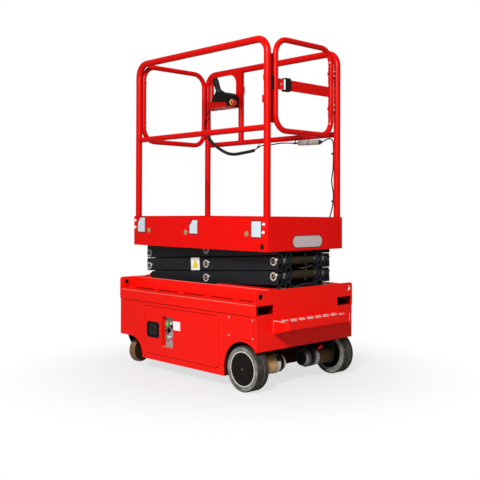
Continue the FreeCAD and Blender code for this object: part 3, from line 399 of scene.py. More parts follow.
# Mesh building. A Build gathers solids, each with its material, into one piece.
class Build:
    def __init__(self, name, body, bevel=0.0):
        self.name, self.body, self.bevel = name, body, bevel
        self.bm = bmesh.new()
        self.mats = []

    def faces(self, points, faces, mat):
        if mat not in self.mats:
            self.mats.append(mat)
        verts = [self.bm.verts.new(p) for p in points]
        for corners in faces:
            face = self.bm.faces.new([verts[k] for k in corners])
            face.material_index = self.mats.index(mat)

    def skin(self, points, sides, mat, closed=False):
        # Joins rings of as many points as sides. The last ring meets the first, or both ends are flat.
        rings = [range(k, k + sides) for k in range(0, len(points), sides)]
        pairs = list(zip(rings, rings[1:]))
        if closed:
            pairs.append((rings[-1], rings[0]))
        faces = []
        for low, high in pairs:
            for k in range(sides):
                n = (k + 1) % sides
                faces.append((low[k], low[n], high[n], high[k]))
        if not closed:
            faces += [tuple(reversed(rings[0])), tuple(rings[-1])]
        self.faces(points, faces, mat)

    def box(self, x0, x1, y0, y1, z0, z1, mat):
        points = [at(x, y, z) for x in (x0, x1) for y in (y0, y1) for z in (z0, z1)]
        faces = [(0, 1, 3, 2), (4, 6, 7, 5), (0, 4, 5, 1), (2, 3, 7, 6), (0, 2, 6, 4), (1, 5, 7, 3)]
        self.faces(points, faces, mat)

    def turned(self, profile, centre, axis, mat, sides=36):
        # The profile is (distance along the axis, radius) in mm, and its ends are closed flat.
        along, outward = spokes(axis, sides)
        middle = at(*centre)
        points = [middle + along * (a / 1000) + out * (r / 1000) for a, r in profile for out in outward]
        self.skin(points, sides, mat)

    def hoop(self, profile, centre, axis, mat, sides=48):
        # A ring whose profile closes on itself, so its middle stays open.
        along, outward = spokes(axis, sides)
        middle = at(*centre)
        points = [middle + along * (a / 1000) + out * (r / 1000) for out in outward for a, r in profile]
        self.skin(points, len(profile), mat, closed=True)

    def rod(self, start, end, r, mat, sides=20):
        run = Vector(end) - Vector(start)
        self.turned([(0, r), (run.length, r)], start, run, mat, sides)

    def prism(self, plane, outline, low, high, mat):
        place = {"xz": lambda a, b, c: at(a, c, b), "yz": lambda a, b, c: at(c, a, b)}[plane]
        points = [place(a, b, c) for c in (low, high) for a, b in outline]
        self.skin(points, len(outline), mat)

    def lining(self, outer, inner, low, high, mat):
        # A thin wall between two outlines of as many points, standing from low to high.
        points = []
        for (a, b), (c, d) in zip(outer, inner):
            points += [at(a, b, low), at(c, d, low), at(c, d, high), at(a, b, high)]
        self.skin(points, 4, mat, closed=True)

    def bolt(self, centre, axis, across, mat, washer=True):
        # A hexagon head with a small chamfer, raised by a washer's height.
        if washer:
            self.turned([(0, across * 0.72), (1.6, across * 0.72)], centre, axis, mat, 24)
        r, foot, depth = across / math.sqrt(3), 1.5, across * 0.55
        self.turned([(foot, r), (foot + depth * 0.8, r), (foot + depth, r * 0.86)], centre, axis, mat, 6)

    def screw(self, centre, axis, r, mat):
        # A button head with a hollow in its middle.
        head = ((0, 1), (0.35, 0.95), (0.6, 0.6), (0.62, 0.42), (0.3, 0.40))
        self.turned([(r * a, r * b) for a, b in head], centre, axis, mat, 20)

    def tube(self, points, r, mat, sides=12, closed=False):
        # A round tube along points, whose rings keep their turn from one point to the next.
        path = [at(*p) for p in points]
        n = len(path)
        verts = []
        up = None
        for k, p in enumerate(path):
            before = path[k - 1] if (closed or k) else p
            after = path[(k + 1) % n] if (closed or k < n - 1) else p
            run = (after - before).normalized()
            if up is None:
                up = run.orthogonal().normalized()
            up = (up - run * up.dot(run)).normalized()
            aside = run.cross(up)
            for s in range(sides):
                t = 2 * math.pi * s / sides
                verts.append(p + (up * math.cos(t) + aside * math.sin(t)) * (r / 1000))
        self.skin(verts, sides, mat, closed)

    def done(self, slot):
        bmesh.ops.recalc_face_normals(self.bm, faces=self.bm.faces)
        mesh = bpy.data.meshes.new(self.name)
        self.bm.to_mesh(mesh)
        self.bm.free()
        obj = new_object(self.name, mesh)
        for mat in self.mats:
            mesh.materials.append(materials[mat])
        smooth(mesh, 35)
        if self.bevel:
            soften(obj, self.bevel, 35)
        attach(obj, self.body)


def rounded(a0, a1, b0, b1, r, steps=6):
    # A rectangle with round corners, each of a quarter turn.
    corners = ((a1 - r, b0 + r, -90), (a1 - r, b1 - r, 0), (a0 + r, b1 - r, 90), (a0 + r, b0 + r, 180))
    points = []
    for ca, cb, start in corners:
        for k in range(steps + 1):
            t = math.radians(start + 90 * k / steps)
            points.append((ca + r * math.cos(t), cb + r * math.sin(t)))
    return points


def slot_round(x, y, half_x, half_y, r, steps=6):
    return rounded(x - half_x, x + half_x, y - half_y, y + half_y, r, steps)


# The two sides of the machine: -1 is the left one, which the photo shows.
both_sides = (-1, 1)
named_sides = (("left", -1), ("right", 1))

# Chassis fittings: panel screws, a dark line round each side panel, tie hole linings in painted shade and
# one in a painted reflection, and painted shade along the doors' bottom seams.
body_y, end_face_x = 375.0, 589.6
tie_y, tie_z = 347.0, 489.0
trim = Build("panel_screws", "chassis")
for s in both_sides:
    for x in (389, 566):
        for z in (281, 374):
            trim.screw((x, s * (body_y + 3), z), (0, s, 0), 5.5, "steel")
    for x0, x1, z0, z1 in ((383, 564, 268.6, 270), (572, 573.4, 278, 376), (374, 375, 282, 376)):
        trim.box(x0, x1, s * (body_y - 0.5), s * (body_y + 0.5), z0, z1, "shadow_gap")
    # Each tie hole is lined and closed deep inside in black, as painted shade; the right hole at the +x end
    # has a pale lining, a painted reflection.
    for inward in (-1, 1):
        place = (-inward * end_face_x, s * tie_y, tie_z)
        finish = "ring_metal" if s > 0 and inward < 0 else "black_paint"
        trim.hoop([(0, 14.1), (22, 14.1), (22, 12.6), (1.5, 12.9)], place, (inward, 0, 0), finish, 40)
        trim.turned([(20, 13.8), (21, 13.8)], place, (inward, 0, 0), "black_paint", 32)
    # A dark strip along the door's bottom seam: painted shade.
    trim.box(-322, 280, s * 374.2, s * 366, 94.3, 96.7, "painted_shade_red")
trim.done("zinc")

# Stitched welds along the pockets, with painted shade in the gaps between them, and painted highlight lines
# along the pocket tops and the trough walls' top edges.
weld = Build("stitch_welds", "chassis")
wall_gaps = ((-564, -374), (-335, -150), (-102, 88), (138, 316), (366, 479))
pocket_gaps = ((-541, -262), (-242, -96), (-65, 79), (99, 271), (282, 579))
wall_end = 579


def bead(x0, x1, y, z, r):
    steps = max(2, round((x1 - x0) / 5))
    points = [(x0 + (x1 - x0) * j / steps, y, z + 0.5 * (j % 2)) for j in range(steps + 1)]
    weld.tube(points, r, "weld", 8)


for s in both_sides:
    # Dark boxes in the gaps between the stitches: painted shade.
    for x0, x1 in wall_gaps:
        weld.box(x0, x1, s * 281.6, s * 282.5, 448.6, 454.0, "painted_shade_red")
    for (_, x0), (x1, _) in zip(wall_gaps, wall_gaps[1:] + ((wall_end, 0),)):
        bead(x0, x1, s * 283.2, 449.6, 3.0)
    for x0, x1 in pocket_gaps:
        weld.box(x0, x1, s * 374.9, s * 376.2, 387.2, 391.0, "painted_shade_red")
    for (_, x0), (x1, _) in zip(pocket_gaps, pocket_gaps[1:]):
        bead(x0, x1, s * 376.0, 389.6, 2.2)
    # Pale pink lines along the pocket tops and the trough walls' top edges: painted highlights.
    weld.rod((-578, s * 378.6, 446.6), (579, s * 378.6, 446.6), 1.9, "painted_highlight_pink", 10)
    weld.rod((-579, s * 281.4, 517.6), (579, s * 281.4, 517.6), 1.7, "painted_highlight_pink", 10)
for y in (-378, -246, 246, 378):
    weld.tube([(590.3, y, 392 + 7 * k) for k in range(9)], 1.4, "weld", 8)
weld.done("red_paint")

# Step: pale rims round the slots, wear with painted highlight, black slot walls as painted shade, bolts at
# its root, and edges lined with wear and painted highlight.
rims = Build("step_slot_rims", "chassis")
step_root, step_front, step_top, half_step, corner_cut = 590.0, 690.0, 362.0, 256.0, 22.0
slot_count, slot_margin = 7, 35.0
pitch = 2 * (half_step - slot_margin) / slot_count
for x, shift in ((624, 0.0), (656, 0.5)):
    for i in range(slot_count):
        y = slot_margin - half_step + pitch * (i + 0.25 + shift)
        # Pale rims round the slots: wear together with painted highlight.
        ring = slot_round(x, y, 9.4, 18.4, 9.2, 5)
        rims.tube([(a, b, step_top + 0.1) for a, b in ring], 1.6, "chipped_and_highlit", 8, closed=True)
        # Black walls inside the slots: painted shade.
        outer, inner = slot_round(x, y, 7.95, 16.95, 7.85), slot_round(x, y, 7.2, 16.2, 7.1)
        rims.lining(outer, inner, step_top - 9, step_top + 0.9, "black_paint")
for s in both_sides:
    rims.bolt((606, s * 205, step_top - 0.2), (0, 0, 1), 10, "red")
cut_x, cut_y, front_x = step_front - corner_cut, half_step - corner_cut, step_front - 0.6
root_x, root_y = step_root + 1.2, -half_step - 0.2
# The step's edges: pale lines of wear with painted highlight, and a pink painted highlight up the root
# corner.
worn_and_highlit_edges = (
    ((step_root + 1, -half_step, step_top - 0.3), (cut_x, -half_step, step_top - 0.3), 1.5, "chipped_and_highlit"),
    ((root_x, root_y, step_top - 58), (root_x, root_y, step_top), 1.1, "painted_highlight_pink"),
    ((front_x, cut_y, step_top - 38), (front_x, cut_y, step_top), 1.2, "chipped_and_highlit"),
    ((front_x, cut_y, step_top - 0.4), (cut_x, half_step - 0.6, step_top - 0.4), 1.2, "chipped_and_highlit"),
)
for start, end, r, finish in worn_and_highlit_edges:
    rims.rod(start, end, r, finish, 10)
rims.done("red_paint")

# Drive wheels: black cap, bright ring, pale mottled side walls, and pale rings at the tread's two grooves as
# painted highlights.
drive_x, drive_z, drive_r, drive_out, tyre_width, hub_r = 487.0, 117.0, 117.0, 375.0, 78.0, 88.0


def on_axle(y):
    return drive_x, y, drive_z


for side, s in named_sides:
    out, inward = (0, s, 0), (0, -s, 0)
    outer_face, inner_face = on_axle(s * drive_out), on_axle(s * (drive_out - tyre_width))
    wheel = Build("wheel_face_" + side, "drive_wheel_" + side, bevel=0.4)
    wheel.turned([(-3.5, hub_r - 5), (-1.5, hub_r - 4), (-0.3, hub_r - 6), (-0.2, 30), (0.0, 8)],
                 outer_face, out, "hub", 96)
    wheel.hoop([(-2.6, hub_r - 3.6), (0.2, hub_r - 3.2), (0.5, hub_r - 1), (0.4, hub_r + 1.4),
                (-0.2, hub_r + 2.6), (-2.6, hub_r + 2.8)], outer_face, out, "ring_metal", 96)
    wheel.turned([(0, 3.6), (0.8, 3.2), (1.0, 2)], outer_face, out, "brass", 16)
    wheel.hoop([(0, 33), (5, 33), (5, 44), (0, 46)], on_axle(s * (drive_out - 80)), inward,
               "black_paint", 56)
    wheel.hoop([(-3, hub_r - 6), (0.3, hub_r - 5), (0.4, hub_r + 2), (-3, hub_r + 2.4)],
               inner_face, inward, "tyre_side", 96)
    wheel.done("pale_rim")
    walls = Build("tyre_walls_" + side, "drive_wheel_" + side)
    wall_profile = [(-3.0, hub_r + 2.9), (0.25, hub_r + 3), (0.5, hub_r + 6), (0.5, 104), (0.3, 110.5),
                    (-0.6, 111.6), (-3.0, 111.0)]
    walls.hoop(wall_profile, outer_face, out, "tyre_side", 96)
    walls.hoop(wall_profile, inner_face, inward, "tyre_side", 96)
    # Pale rings at the edges of the tread's two grooves: painted highlights.
    for inset, r in ((29.4, drive_r - 2.6), (44.2, drive_r - 1.2)):
        walls.hoop([(0, r - 1), (0, r + 0.5), (2.2, r + 0.5), (2.2, r - 1)],
                   on_axle(s * (drive_out - inset)), inward, "groove_highlight", 96)
    walls.done("drive_rubber")

# Motor dressing: bands in their own metals, as (inner y, outer y, radius, finish), and an end cap.
motor_bands = {
    "left": ((169.4, 290.4, 49.4, "brass"), (142.4, 168.6, 51.4, "band_steel"),
             (116.4, 141.6, 48.4, "black_paint"), (95.2, 116.0, 40.5, "beige_metal")),
    # The right motor's brass and steel are darker copies of the left's metals: painted shade.
    "right": ((165.4, 272, 49.4, "brass_shaded"), (272, 290.4, 49.8, "black_paint"),
              (136, 164.6, 50.4, "band_steel_shaded"), (122.4, 136, 50.5, "dark"),
              (92.4, 121.6, 52.0, "black_paint"), (66.2, 91.6, 41.5, "band_steel_shaded")),
}
for side, s in named_sides:
    out, inward = (0, s, 0), (0, -s, 0)
    motor = Build("motor_dress_" + side, "chassis", bevel=0.5)
    bands = motor_bands[side]
    for y0, y1, r, finish in bands:
        width = y1 - y0
        motor.turned([(0, r - 1.2), (1.2, r), (width - 1.2, r), (width, r - 1.2)], on_axle(s * y0), out,
                     finish, 72)
    cap_y, cap_r = bands[-1][0], bands[-1][2]
    bolt_ring = cap_r - 10
    motor.turned([(-0.4, cap_r - 3), (0.3, cap_r - 4)], on_axle(s * cap_y), inward, "dark", 56)
    motor.hoop([(0, 15.8), (2.4, 16.2), (2.4, 19.5), (0, 21)], on_axle(s * cap_y), inward,
               "black_paint", 48)
    for turn in (45, 135, 225, 315):
        t = math.radians(turn)
        place = (drive_x + bolt_ring * math.cos(t), s * (cap_y - 0.3), drive_z + bolt_ring * math.sin(t))
        motor.bolt(place, inward, 5, "dark", washer=False)
    # Clamp ribs on the gear head.
    for y in (214, 250):
        motor.hoop([(0, 48.6), (0, 50.2), (3, 50.2), (3, 48.6)], on_axle(s * y), out, bands[0][3], 72)
    if side == "right":
        motor.prism("yz", [(148, 159), (181, 166), (181, 184), (148, 174)], drive_x + 49, drive_x + 54,
                    "red")
    motor.done("cast_motor")

# The left motor's terminal block and its lead.
terminal = Build("motor_terminal", "chassis", bevel=1.0)
terminal.box(drive_x + 30, drive_x + 52, -166, -146, drive_z + 20, drive_z + 42, "black_paint")
terminal_lead = ((44, -156, 40), (44, -158, 54), (34, -166, 70), (14, -176, 84), (-6, -182, 95))
terminal.tube([(drive_x + dx, y, drive_z + dz) for dx, y, dz in terminal_lead], 5, "cable", 12)
terminal.done("black_plastic")

# Casters: axle nuts, swivel rings, wheel sides, and bolts in the plates clear of the rear end plate.
caster_yaw = math.radians(81.0)
caster_x, caster_y, trail, caster_axle_z, plate_end_x = -540.0, 300.0, 38.0, 74.0, -575.0
for side, s in named_sides:
    yaw = s * caster_yaw
    swivel = Vector((caster_x, s * caster_y, 0))
    hub = swivel + Vector((-trail * math.cos(yaw), -trail * math.sin(yaw), caster_axle_z))
    axle = Vector((-math.sin(yaw), math.cos(yaw), 0))
    fork = Build("caster_fittings_" + side, "caster_fork_" + side, bevel=0.3)
    tread = Build("caster_rims_" + side, "caster_wheel_" + side, bevel=0.3)
    for sign in (-1, 1):
        fork.bolt(hub + axle * sign * 31.6, axle * sign, 17, "zinc")
        tread.turned([(0, 67), (0.7, 66), (0.9, 20), (2.2, 19), (2.6, 12)], hub + axle * sign * 22.0,
                     axle * sign, "caster_side", 56)
    fork.turned([(0, 41), (3, 43.6), (6, 43.6), (7, 40)], swivel + Vector((0, 0, 160.5)), (0, 0, 1),
                "zinc", 48)
    fork.done("dark_steel")
    tread.done("dark_steel")
    plate = Build("caster_plate_bolts_" + side, "chassis", bevel=0.3)
    for dx in (-36, 36):
        for dy in (-36, 36):
            if caster_x + dx > plate_end_x:
                plate.bolt((caster_x + dx, s * caster_y + dy, 185.2), (0, 0, 1), 13, "zinc")
    plate.done("zinc")

# Left door: blank white sticker and the pale sill of the controls' recess.
face_y, outward = -body_y, (0, -1, 0)
recess_x0, recess_x1, recess_z0, recess_z1, recess_depth = -187.0, -80.0, 148.0, 320.0, 38.0
door = Build("door_dress_left", "door_left", bevel=0.3)
door.prism("xz", rounded(-78, -16, 253, 303, 4), face_y - 0.6, face_y + 0.2, "white")
door.box(recess_x0 + 3, recess_x1 - 2, face_y + 2, face_y + recess_depth - 4.4, recess_z0 + 0.1,
         recess_z0 + 1.2, "pink_sill")
door.done("red_paint")

# Charge socket: rubber rim, a flap set in its well, the flap's hinge and catch.
socket = Build("socket_dress", "door_left", bevel=0.5)
socket_x0, socket_x1, socket_z0, socket_z1 = -322.0, -207.0, 190.0, 281.0
rim = rounded(socket_x0 + 8, socket_x1 - 8, socket_z0 + 8, socket_z1 - 8, 10)
flap = rounded(socket_x0 + 13, socket_x1 - 30, socket_z0 + 13, socket_z1 - 13, 7)
catch = rounded(socket_x1 - 29, socket_x1 - 11, socket_z0 + 13, socket_z1 - 13, 4)
knob = ((socket_x0 + socket_x1) / 2 - 6, face_y + 4.6, (socket_z0 + socket_z1) / 2)
hinge_y, hinge_z = face_y + 5, socket_z1 - 14
socket.tube([(a, face_y - 1.8, b) for a, b in rim], 2.2, "black_paint", 10, closed=True)
socket.prism("xz", flap, face_y + 4.6, face_y + 7.4, "rubber")
socket.prism("xz", catch, face_y + 10, face_y + 12, "black_paint")
socket.hoop([(0, 7), (1.8, 7.4), (1.8, 10.5), (0, 11.4)], knob, outward, "black_paint", 32)
socket.turned([(0, 3.4), (1.4, 3.0)], knob, outward, "rubber", 20)
socket.rod((socket_x0 + 17, hinge_y, hinge_z), (socket_x1 - 34, hinge_y, hinge_z), 2.6, "rubber", 14)
socket.done("black_plastic")

# Ground controls, as (share across, share up, radius, length, lens, barrel): lit buttons in bright rings,
# two of them with white barrels, and plain black ones.
buttons = (
    (0.30, 0.73, 13.0, 20.0, "button_green", "button_green"),
    (0.30, 0.53, 10.0, 24.0, "black_paint", "black_paint"),
    (0.30, 0.30, 12.0, 18.0, "button_dull", "lens_white"),
    (0.78, 0.29, 12.0, 18.0, "button_red", "lens_white"),
    (0.78, 0.69, 13.0, 24.0, "black_paint", "black_paint"),
)
panel_y = face_y + 34
panel = Build("ground_button_dress", "door_left", bevel=0.3)
for across, up, r, reach, lens, barrel in buttons:
    x = recess_x0 + across * (recess_x1 - recess_x0)
    z = recess_z0 + up * (recess_z1 - recess_z0)
    ring = "black_paint" if lens == "black_paint" else "steel"
    panel.hoop([(0, r + 0.3), (4.6, r + 0.4), (4.4, r + 2.4), (3, r + 4), (0, r + 4)], (x, panel_y, z),
               outward, ring, 40)
    panel.turned([(0, r + 0.5), (reach - 2, r + 0.5), (reach + 0.4, r - 1.4), (reach + 1.0, r * 0.5)],
                 (x, panel_y, z), outward, barrel, 40)
    if barrel != lens:
        panel.turned([(reach - 3, r * 0.8), (reach + 2.4, r * 0.78), (reach + 3.2, r * 0.5)],
                     (x - 2, panel_y, z), outward, lens, 40)
for x in (recess_x0 + 8, recess_x1 - 8):
    for z in (recess_z0 + 8, recess_z1 - 8):
        panel.screw((x, panel_y, z), outward, 3.2, "steel")
panel.done("black_plastic")

# Scissor. Each stage has an outer pair of arms, rising from the caster end, and an inner pair, falling.
arm_half, fold, base_x, base_z = 537.0, math.radians(4.2), -530.0, 501.5
arm_length, stage_rise = 2 * arm_half, 2 * arm_half * math.sin(fold)
levels = ("low", "middle", "high")


def on_rising(stage, along, up):
    x = base_x + along * math.cos(fold) - up * math.sin(fold)
    return x, base_z + stage_rise * (stage - 1) + along * math.sin(fold) + up * math.cos(fold)


def on_falling(stage, along, up):
    x = base_x + along * math.cos(fold) + up * math.sin(fold)
    return x, base_z + stage_rise * stage - along * math.sin(fold) + up * math.cos(fold)


pin_face_y = 208.0


def pin_heads(stage, level):
    # A bright ring round a brown bore, a grease point and a keeper bolt beside it.
    pins = Build("pin_heads_%d" % stage, "outer_arms_" + level, bevel=0.4)
    ends = [arm_half]
    if stage > 1:
        ends.append(0.0)
    if stage < 3:
        ends.append(arm_length)
    for along in ends:
        x, z = on_rising(stage, along, 0)
        for s in both_sides:
            place, out = (x, s * pin_face_y, z), (0, s, 0)
            pins.hoop([(-3, 22.6), (-0.4, 22.8), (0.6, 22.0), (1.0, 18.5), (0.3, 14.6), (-3, 14.1)],
                      place, out, "ring_zinc", 48)
            pins.turned([(-12, 13.6), (-2.4, 13.8), (-2.0, 11)], place, out, "pin_bore", 36)
            pins.turned([(-2.2, 3.6), (0.2, 3.2), (1.2, 2.0)], place, out, "brass", 14)
            pins.bolt((x + 24.5, s * (pin_face_y - 2.4), z + 10.5), out, 8.5, "bright_zinc", washer=False)
    pins.done("zinc")


def cross_tubes(stage, level):
    # An olive sleeve, a dark collar and a steel spacer at each end, grease points and a lug.
    collars = Build("tube_collars_%d" % stage, "inner_arms_" + level, bevel=0.3)
    for along in ([0.0, arm_length] if stage < 3 else [arm_length]):
        x, z = on_falling(stage, along, 0)
        for s in both_sides:
            collars.turned([(0, 31), (3, 31), (5, 26)], (x, s * 102.6, z), (0, -s, 0), "arm", 36)
            collars.hoop([(0, 18.6), (0, 25), (19, 25), (19, 18.6)], (x, s * 143.5, z), (0, s, 0),
                         "steel", 36)
        collars.turned([(0, 23.4), (198, 23.4)], (x, -99, z), (0, 1, 0), "olive", 40)
        for up in (-1, 1):
            collars.turned([(0, 4.6), (3, 4.2), (4.4, 2.4)], (x, 42, z + up * 22.6), (0, 0, up),
                           "ring_metal", 14)
        collars.box(x + 21, x + 24.2, 84, 89, z, z + 14, "zinc")
    collars.done("dark_steel")


for stage, level in enumerate(levels, 1):
    pin_heads(stage, level)
    cross_tubes(stage, level)

# Grease fittings at the middle inner arms' step ends.
fittings = Build("arm_end_fittings", "inner_arms_middle", bevel=0.3)
for back in (0.0, 34.0):
    x, z = on_falling(2, arm_length - back, 0)
    for s in both_sides:
        fittings.turned([(0, 8), (6, 8), (7, 6), (13, 6), (14, 3.4), (19, 3)], (x, s * 98, z + 14),
                        (0.2, -s, 0.25), "steel", 20)
fittings.done("zinc")

# The blank sign on the middle outer arm: a white plate with a plain yellow patch.
sign = Build("arm_plate", "outer_arms_middle", bevel=0.2)
plate_corners = ((400, -34), (476, -34), (476, 37.6), (400, 37.6))
patch_corners = ((410, -21), (468, -21), (439, 31))
sign.prism("xz", [on_rising(2, a, b) for a, b in plate_corners], -203.9, -202.8, "white")
sign.prism("xz", [on_rising(2, a, b) for a, b in patch_corners], -204.3, -203.6, "yellow")
sign.done("red_paint")

# Hoses at the step end: two between the cross tubes, and two that stand up at the chassis' rim.
hose = Build("scissor_hoses", "inner_arms_middle")
tube_x, tube_z = on_rising(1, arm_length, 0)
for shift, r in ((0, 4.6), (9, 3.8)):
    route = ((-56, 4 + shift, 33), (-20, shift, 34), (6, 6 + shift, 34), (20 - shift, 22, 38),
             (24 - shift, 44, 45 - shift / 3), (22 - shift, 66, 47 - shift / 3), (12 - shift, 80, 42),
             (-8, 86, 36), (-50, 84, 33))
    hose.tube([(tube_x + dx, y, tube_z + dz) for dx, y, dz in route], r, "rubber", 12)
hose.done("black_plastic")
low_hose = Build("rim_hoses", "chassis")
for shift in (0, 24):
    low_hose.tube([(557, -26 + shift, 527), (567, -8 + shift, 531), (573 - shift / 6, 20 + shift, 533),
                   (569, 46 + shift, 530), (557, 62 + shift, 526)], 4.2, "rubber", 12)
low_hose.done("black_plastic")

# Lift cylinder: gland nut, band, port and pipe, by their distance along the barrel and above it.
tilt = math.radians(7.493)
barrel_way = Vector((math.cos(tilt), 0, math.sin(tilt)))
barrel_up = Vector((-math.sin(tilt), 0, math.cos(tilt)))


def on_barrel(along, up=0):
    return Vector((-330, 0, 485)) + barrel_way * along + barrel_up * up


cylinder = Build("cylinder_dress", "lift_barrel", bevel=0.5)
cylinder.turned([(0, 39), (3, 42.4), (34, 42.4), (37, 40), (37, 26)], on_barrel(524), barrel_way,
                "steel", 64)
cylinder.turned([(0, 37.8), (6, 37.8)], on_barrel(120), barrel_way, "zinc", 48)
cylinder.turned([(0, 9), (14, 9), (15, 7), (24, 7)], on_barrel(90, 34), barrel_up, "zinc", 20)
pipe = ((90, 60), (96, 66), (112, 64), (150, 46), (200, 43), (420, 43))
cylinder.tube([on_barrel(along, up) for along, up in pipe], 5, "cable", 12)
cylinder.done("dark_steel")

# Toe board: blank plates with cut corners, dots, bolts, and the end's blank capacity plate.
side_y = 299.0
toe = Build("toe_board_dress", "platform", bevel=0.25)
for x0, x1, z0, z1, cut in ((-527, -446, 787, 884, 26), (-36, 44, 787, 874, 26), (466, 548, 780, 873, 4)):
    toe.prism("xz", rounded(x0, x1, z0, z1, 7), -side_y - 0.5, -side_y + 0.3, "plum")
    sheet = [(x0 + 6, z0 + 6), (x1 - 6, z0 + 6), (x1 - 6, z1 - 6), (x0 + 6 + cut, z1 - 6),
             (x0 + 6, z1 - 6 - cut * 1.2)]
    toe.prism("xz", sheet, -side_y - 0.9, -side_y - 0.4, "plate_blue")
    if cut > 4:
        corner = [(x0 + 5, z1 - 5), (x0 + 5, z1 + 1 - cut * 1.2), (x0 + cut, z1 - 5)]
        toe.prism("xz", corner, -side_y - 0.9, -side_y - 0.4, "toe_red_shaded")
for x, z in ((-410, 804), (-65, 799), (435, 802)):
    toe.turned([(0, 14), (0.9, 14)], (x, -side_y, z), outward, "dot_ring", 36)
    toe.turned([(0.8, 11), (1.3, 11)], (x, -side_y, z), outward, "dot_green", 36)
for s in both_sides:
    for x, z in ((-547, 860), (-547, 819), (563, 853), (560, 811)):
        toe.bolt((x, s * side_y, z), (0, s, 0), 12, "bright_zinc")
toe.turned([(0, 14.7), (1, 14.7)], (550, -side_y + 3.6, 737), (0, 1, 0), "black_paint", 36)
toe.prism("yz", rounded(-112, 126, 725, 793, 33.5, 10), 586.6, 587.7, "dark")
toe.prism("yz", rounded(-108, 122, 729, 789, 29.5, 10), 587.6, 588.2, "pale_plate")
toe.done("red_paint")

# Rails: end loop bolts, hinge bolts on the post, striker and post lugs.
loop_x, post_y = -544.7, 276.7
rails = Build("rail_fittings", "platform", bevel=0.3)
for s in both_sides:
    for z in (1705, 1463):
        rails.bolt((loop_x, s * (post_y + 18.8), z), (0, s, 0), 8, "worn_red", washer=False)
        rails.bolt((loop_x, s * 227.2, z), (0, -s, 0), 7, "worn_red", washer=False)
for z in (1700, 1671, 1497, 1468):
    rails.bolt((578.6, 285.9, z), (0.862, 0.507, 0), 7.5, "bright_zinc", washer=False)
rails.box(545, 552, -256, -240, 1552, 1612, "plastic")
rails.prism("yz", rounded(-256, -236, 1546, 1618, 8), 556, 572, "plastic")
for x, z0, z1 in ((546, 1588, 1621), (539, 1476, 1515)):
    rails.box(x, x + 12, -291, -277, z0, z1, "rail")
rails.done("red_paint")

# Gate: latch dressing, stop strips in painted shade above and below the latch, hinge bolts and wound coils
# at the hinges.
gate = Build("gate_fittings", "gate", bevel=0.3)
gate.turned([(0, 6.5), (2, 6), (3, 3.6)], (565, -180, 1579), (1, 0, 0), "steel", 24)
gate.box(568, 577.4, -159.5, -157.4, 1553, 1606, "white")
gate.box(548.2, 577.8, -157.4, -116, 1545, 1614, "plastic")
# Stop strips on the gate in a dark red: painted shade.
for z0, z1 in ((1374, 1545.5), (1618.5, 1731)):
    gate.box(561, 565, -254, -229, z0, z1, "painted_shade_red")
for z in (1697, 1670, 1510, 1484):
    gate.bolt((572, 235, z), (0.62, 0.78, 0), 6.5, "bright_zinc", washer=False)
gate.rod((549, -137, 1579), (536, -137, 1579), 9, "plastic", 24)


def coil(x, y, z0, z1, turns, ring_r, steps=16):
    points = []
    for k in range(turns * steps + 1):
        t = 2 * math.pi * k / steps
        z = z0 + (z1 - z0) * k / (turns * steps)
        points.append((x + ring_r * math.cos(t), y + ring_r * math.sin(t), z))
    return points


for z0, z1 in ((1630, 1713), (1441, 1513)):
    gate.tube(coil(563, 223, z0, z1, 7, 15.8), 2.1, "rail", 8)
for z in (1740, 1401):
    gate.screw((575, 199, z), (1, -0.2, 0), 4.5, "bright_zinc")
gate.done("red_paint")

# Platform control box: side shells, a lid skin, and the stop button with its screws on the box's end.
controls = Build("control_dress", "platform", bevel=0.8)
box_side = [(-370.5, 1575), (-367.5, 1612), (-332, 1658.5), (-325, 1664.5), (-256.5, 1660.5),
            (-227.5, 1644), (-217.8, 1625.5), (-221.5, 1575)]
lid = [(-333, 1660.4), (-325, 1666.4), (-256, 1662.4), (-226, 1645.4), (-227, 1643), (-257, 1659),
       (-325, 1663), (-332, 1657)]
controls.prism("xz", box_side, 149.9, 151.6, "plastic")
controls.prism("xz", box_side, 251.6, 253.0, "plastic")
controls.prism("xz", lid, 156, 247, "rubber")
end_x, stop_y, stop_way = -218.6, 193, (1, 0, 0.03)
controls.hoop([(0, 10), (2.6, 10), (2.6, 20.5), (1.6, 21.5), (0, 21.5)], (end_x, stop_y, 1598), stop_way,
              "amber", 48)
controls.turned([(-2, 12), (12, 12), (12.5, 17.4), (15, 18.8), (24, 18.8), (27, 16), (28.4, 9)],
                (end_x, stop_y, 1593), stop_way, "button_red", 48)
for y in (162, 241):
    for z in (1585, 1628):
        controls.screw((end_x - 0.2, y, z), (1, 0, 0), 3.0, "rubber")

# The joystick's folded boot, its shaped grip and the grip's rocker.
stick_foot, stick_tip = Vector((-342, 200, 1662)), Vector((-388, 200, 1764))
stick_way = (stick_tip - stick_foot).normalized()
folds = []
for j in range(6):
    folds += [(j * 4.4, 33.6 - j * 2.9), (j * 4.4 + 2.2, 34.6 - j * 2.9)]
controls.turned([(-3, 33)] + folds + [(27, 17)], stick_foot, stick_way, "rubber", 48)
grip = [(24, 16.6), (40, 18.0), (56, 17.6), (72, 19.0), (92, 20.0), (106, 18.6), (112, 13), (113.4, 6)]
controls.turned(grip, stick_foot, stick_way, "plastic", 40)
middle = stick_foot + stick_way * 84
rocker = [(middle.x + dx, middle.z + dz) for dx, dz in ((17, -8), (22, -2), (15, 16), (10, 14))]
controls.prism("xz", rocker, 193, 207, "rubber")

# Two bolts, a pale pink painted highlight on the shelf under the box, and a lug of the bracket beside it.
for x, y in ((-232, 160), (-362, 236)):
    controls.bolt((x, y, 1570.0), (0, 0, -1), 9, "dark")
controls.box(-206.4, -202, 262, 288, 1656, 1704, "rail")
# A pale pink sheet on the shelf under the box: painted highlight.
controls.box(-370, -224, 150, 262, 1569.0, 1569.8, "painted_highlight_pink")
controls.done("black_plastic")

